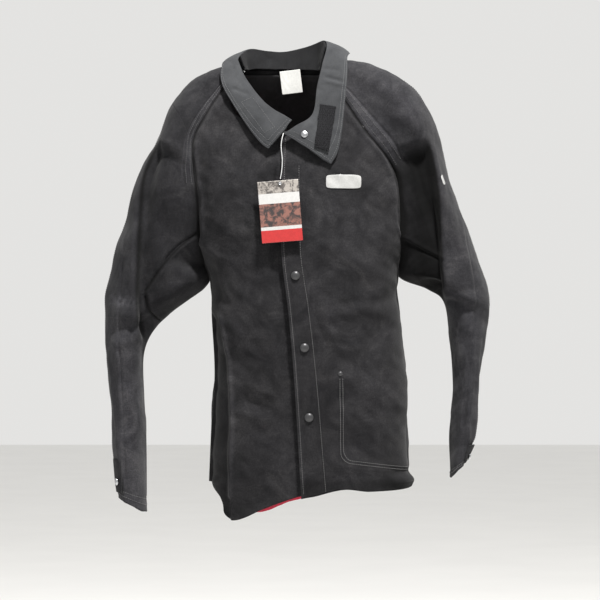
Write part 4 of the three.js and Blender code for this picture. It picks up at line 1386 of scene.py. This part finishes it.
def fall_at(x, z, guess):
    """Place on the fall, as along and down, that stands at x and z; Newton's method."""
    along = np.full(np.shape(x), guess[0], float)
    down = np.full(np.shape(x), guess[1], float)
    step = 1e-4
    for _ in range(12):
        here = collar_fall(along, down)
        by_along = (collar_fall(along + step, down) - here) / step
        by_down = (collar_fall(along, down + step) - here) / step
        size = by_along[..., 0] * by_down[..., 2] - by_along[..., 2] * by_down[..., 0]
        miss_x, miss_z = x - here[..., 0], z - here[..., 2]
        along = np.clip(along + (miss_x * by_down[..., 2] - miss_z * by_down[..., 0]) / size, 0, 1)
        down = np.clip(down + (miss_z * by_along[..., 0] - miss_x * by_along[..., 2]) / size, 0, 1)
    return along, down


def add_pad(name, corners, guess, depth, thick, body, node):
    (ax, az), (bx, bz), (cx, cz), (dx, dz) = corners
    u, v = np.meshgrid(np.linspace(0, 1, 44), np.linspace(0, 1, 90))
    x = mix(mix(ax, bx, u), mix(cx, dx, u), v)
    z = mix(mix(az, bz, u), mix(cz, dz, u), v)
    along, down = fall_at(x, z, guess)
    fuzz = lambda point, a, b: 0.45 * ripple(90, 3.2, point[..., 0], point[..., 2])
    surface = raised(collar_fall, fuzz, COLLAR_WAY)
    piece = shell(name, surface, along, down, thick, COLLAR_WAY, PILE, depth=depth)
    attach(finish_piece(piece, "hook_loop", node), body + "_collar")


# ---- Fasteners, marks, tag and label ---------------------------------------------------------


# How far a cap's rim stands off the leather.
CAP_GAP = 0.2


def add_fasteners():
    side = SIDES["left"]
    surface = front_surface(side)
    for number, (x, z) in enumerate(FRONT_SNAPS, 1):
        point, normal = front_line(surface, [x], np.array([-z]))
        place = point[0] + normal[0] * CAP_GAP
        cap = lathe(f"front_cap_{number}", dome(CAP_DIAMETER, 3.8), place, normal[0], ENAMEL)
        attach(finish_piece(cap, "black_snap", f"front_snap_cap_{number}"), "left_front")
    x, z, size = RIVET
    point, normal = front_line(surface, [x], np.array([-z]))
    rivet = lathe("pocket_rivet_head", dome(size, 2), point[0] + normal[0] * CAP_GAP, normal[0], ENAMEL)
    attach(finish_piece(rivet, "black_snap", "pocket_rivet"), "left_front")
    x, z, size = NECK_SNAP
    along, down = fall_at(np.array([float(x)]), np.array([float(z)]), (0.97, 0.3))
    point, normal = on(collar_shape, along, down, COLLAR_WAY)
    snap = lathe("neck_cap", dome(size, 3), point[0] + normal[0] * CAP_GAP, normal[0], STEEL)
    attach(finish_piece(snap, "steel_snap", "neck_snap_cap"), "left_collar")


def add_marks():
    """Two plain pale patches: a rounded bar on the chest and a small square on the left sleeve."""
    side = SIDES["left"]
    surface = front_surface(side)
    u, v = np.meshgrid(np.linspace(-1, 1, 60), np.linspace(-1, 1, 30))
    u, v = rounded(u, v, 62, 20)
    x, drop = 95 + u * 31, 209 + v * 12
    patch = shell("chest_mark", surface, front_angle(x, drop), drop, MARK_THICKNESS, TRUNK_WAY, MARK,
                  depth=-1.0)
    finish_piece(patch, "label_cloth")
    bend_front(patch, side)
    shape = sleeve_shape(side)
    u, v = np.meshgrid(np.linspace(-1, 1, 24), np.linspace(-1, 1, 24))
    u, v = rounded(u, v, 16, 16)
    t, around = 5.95 + v * 0.11, 0.345 + u * 0.016
    patch = shell("sleeve_mark", shape, t, around, MARK_THICKNESS, sleeve_way(side), MARK, depth=-0.6)
    finish_piece(patch, "label_cloth")
    bend_shoulder(patch, side)


def rounded(u, v, width, height):
    """Pulls the corners of a square grid in so that the outline has round corners."""
    pull = 0.16 * min(width, height) / np.array([width, height])
    return u * (1 - pull[0] * v**6), v * (1 - pull[1] * u**6)


def turned(points, origin, turn):
    """Turns points about the Y axis, then moves them to a place."""
    x, z = points[:, 0].copy(), points[:, 2].copy()
    points = points.copy()
    points[:, 0] = x * math.cos(turn) + z * math.sin(turn)
    points[:, 2] = -x * math.sin(turn) + z * math.cos(turn)
    return points + np.array(origin, float)


def slab(width, height, thick, columns, rows, wave):
    """A thin upright card or ribbon, slightly bowed: points of both faces and their faces."""
    x, z = np.meshgrid(np.linspace(-0.5, 0.5, columns) * width, np.linspace(0.5, -0.5, rows) * height)
    bow = wave(x, z)
    front = np.stack([x, bow - thick / 2, z], -1).reshape(-1, 3)
    back = np.stack([x, bow + thick / 2, z], -1).reshape(-1, 3)
    return np.concatenate([front, back]), grid_faces(rows, columns)


# Bands of the tag from the top: share of the height where each starts.
TAG_BANDS = [0.0, 0.2, 0.36, 0.74, 0.79]


def add_tag():
    height, width = TAG["height"], TAG["width"]
    rows, columns = 110, 70
    bow = lambda x, z: 0.9 * (x / width) ** 2 + 0.5 * np.sin(z / 40)
    points, faces = slab(width, height, 0.6, columns, rows, bow)
    centre = (TAG["x"], TAG["y"], TAG["top"] - height / 2)
    tones = [
        card("tag_pattern", (0.24, 0.22, 0.20), (0.055, 0.048, 0.044), 130),
        card("tag_white", (0.38, 0.375, 0.368), (0.35, 0.345, 0.338), 300),
        card("tag_picture", (0.15, 0.065, 0.05), (0.02, 0.014, 0.014), 95),
        card("tag_strip", (0.36, 0.355, 0.348), (0.33, 0.325, 0.318), 300),
        card("tag_red", (0.31, 0.010, 0.010), (0.27, 0.008, 0.008), 220),
    ]
    piece = add_mesh("hang_tag_printed", turned(points, centre, TAG["turn"]), faces, tones[0])
    for tone in tones[1:]:
        piece.data.materials.append(tone)
    share = (height / 2 - points[faces[:, 0], 2]) / height
    band = np.searchsorted(TAG_BANDS, share, side="right") - 1
    piece.data.polygons.foreach_set("material_index", np.clip(band, 0, 4).astype(np.int32))
    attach(finish_piece(piece, "card", "hang_tag_card"), "hang_tag")
    eyelet_at = np.array([TAG["x"], TAG["y"] - 0.6, TAG["top"] - 5.0])
    ring = [[1.6, 0], [2.9, 0], [3.1, 0.35], [2.7, 0.7], [1.8, 0.7], [1.6, 0.35]]
    eyelet = lathe("tag_eyelet", ring, eyelet_at, (0, -1, 0), STEEL, 28)
    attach(finish_piece(eyelet, "card"), "hang_tag")


def add_string():
    curve = bpy.data.curves.new("hang_tag_cord", "CURVE")
    curve.dimensions = "3D"
    curve.bevel_depth = STRING_DIAMETER / 2 * MM
    curve.bevel_resolution = 4
    fine = point_track(STRING_ROUTE)(np.linspace(0, 1, 30))
    spline = curve.splines.new("POLY")
    spline.points.add(len(fine) - 1)
    for knot, place in zip(spline.points, fine):
        knot.co = (*metres(place), 1)
    curve.materials.append(thread("tag_string", (0.34, 0.34, 0.34)))
    piece = bpy.data.objects.new("hang_tag_cord", curve)
    bpy.context.scene.collection.objects.link(piece)
    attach(finish_piece(piece, "string", "hang_tag_string"), "hang_tag")
    length = float(np.linalg.norm(np.diff(fine, axis=0), axis=1).sum()) * MM
    metres(STRING_ROUTE[0])


def add_label():
    bow = lambda x, z: 0.7 * np.cos(x / 9) + 0.5 * np.sin(z / 13)
    points, faces = slab(LABEL["width"], LABEL["height"], 0.6, 50, 56, bow)
    centre = (LABEL["x"], LABEL["y"], LABEL["top"] - LABEL["height"] / 2)
    uv = points[:, [0, 2]] + np.array([LABEL["width"] / 2, LABEL["height"] / 2])
    cloth = ribbon("label_ribbon", (0.40, 0.40, 0.385))
    piece = add_mesh("neck_label_ribbon", turned(points, centre, LABEL["turn"]), faces, cloth, uv)
    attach(finish_piece(piece, "label_cloth", "neck_label"), "label")
    declare_sheet(piece)


def finish_cad_nodes():
    """The small pressed-metal pieces keep their CAD shape and get the plated look."""
    for name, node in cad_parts.items():
        if name.startswith(("front_snap_socket", "front_snap_stud")) or name.endswith("cuff_snap_stud"):
            node.data.materials.clear()
            node.data.materials.append(STEEL)


# ---- Stage -----------------------------------------------------------------------------------


# Each lamp: name, place, size, power and colour; all of them point at LIGHT_TARGET.
LIGHT_TARGET = (0.02, -0.05, -0.4)
LIGHTS = [
    ("key_light", (0.6, -1.25, 2.7), 0.3, 400, (1.0, 0.985, 0.965)),
    ("fill_light", (-2.0, -2.4, 0.3), 1.8, 8, (0.95, 0.97, 1.0)),
    ("back_light", (0.3, 2.4, 1.3), 1.6, 20, (1.0, 1.0, 1.0)),
]
WORLD_COLOUR, WORLD_STRENGTH = (0.86, 0.855, 0.84), 0.9
FLOOR_SIZE, FLOOR_HEIGHT = 14.0, -1.4


def add_area(name, place, size, power, colour):
    data = bpy.data.lights.new(name, "AREA")
    data.shape = "SQUARE"
    data.size = size
    data.energy = power
    data.color = colour
    lamp = bpy.data.objects.new(name, data)
    lamp.location = place
    way = Vector(LIGHT_TARGET) - Vector(place)
    lamp.rotation_euler = way.to_track_quat("-Z", "Y").to_euler()
    bpy.context.scene.collection.objects.link(lamp)


def add_stage():
    world = bpy.data.worlds.new("studio")
    bpy.context.scene.world = world
    world.use_nodes = True
    background = world.node_tree.nodes["Background"]
    background.inputs["Color"].default_value = (*WORLD_COLOUR, 1)
    background.inputs["Strength"].default_value = WORLD_STRENGTH
    bpy.context.scene.view_settings.view_transform = "Standard"
    for light in LIGHTS:
        add_area(*light)
    signs = ((-1, -1), (1, -1), (1, 1), (-1, 1))
    corners = [(x * FLOOR_SIZE, y * FLOOR_SIZE, FLOOR_HEIGHT) for x, y in signs]
    mesh = bpy.data.meshes.new("floor")
    mesh.from_pydata(corners, [], [(0, 1, 2, 3)])
    mesh.materials.append(plain("floor_pale", (0.82, 0.815, 0.80), 0.03))
    floor = bpy.data.objects.new("floor", mesh)
    bpy.context.scene.collection.objects.link(floor)


# ---- Assembly --------------------------------------------------------------------------------

add_camera()
add_string()
add_stage()
add_fronts()
add_back()
add_pocket_bag()
add_sleeves()
add_collar()
add_pad("loop_pad_pile", LOOP_PAD, guess=(0.92, 0.5), depth=-2.4, thick=1.6, body="left",
        node="collar_loop_pad")
add_pad("hook_pad_pile", HOOK_PAD, guess=(0.1, 0.5), depth=TWILL + 0.4, thick=1.4, body="right",
        node="collar_hook_pad")
add_fasteners()
add_marks()
add_tag()
add_label()
finish_cad_nodes()
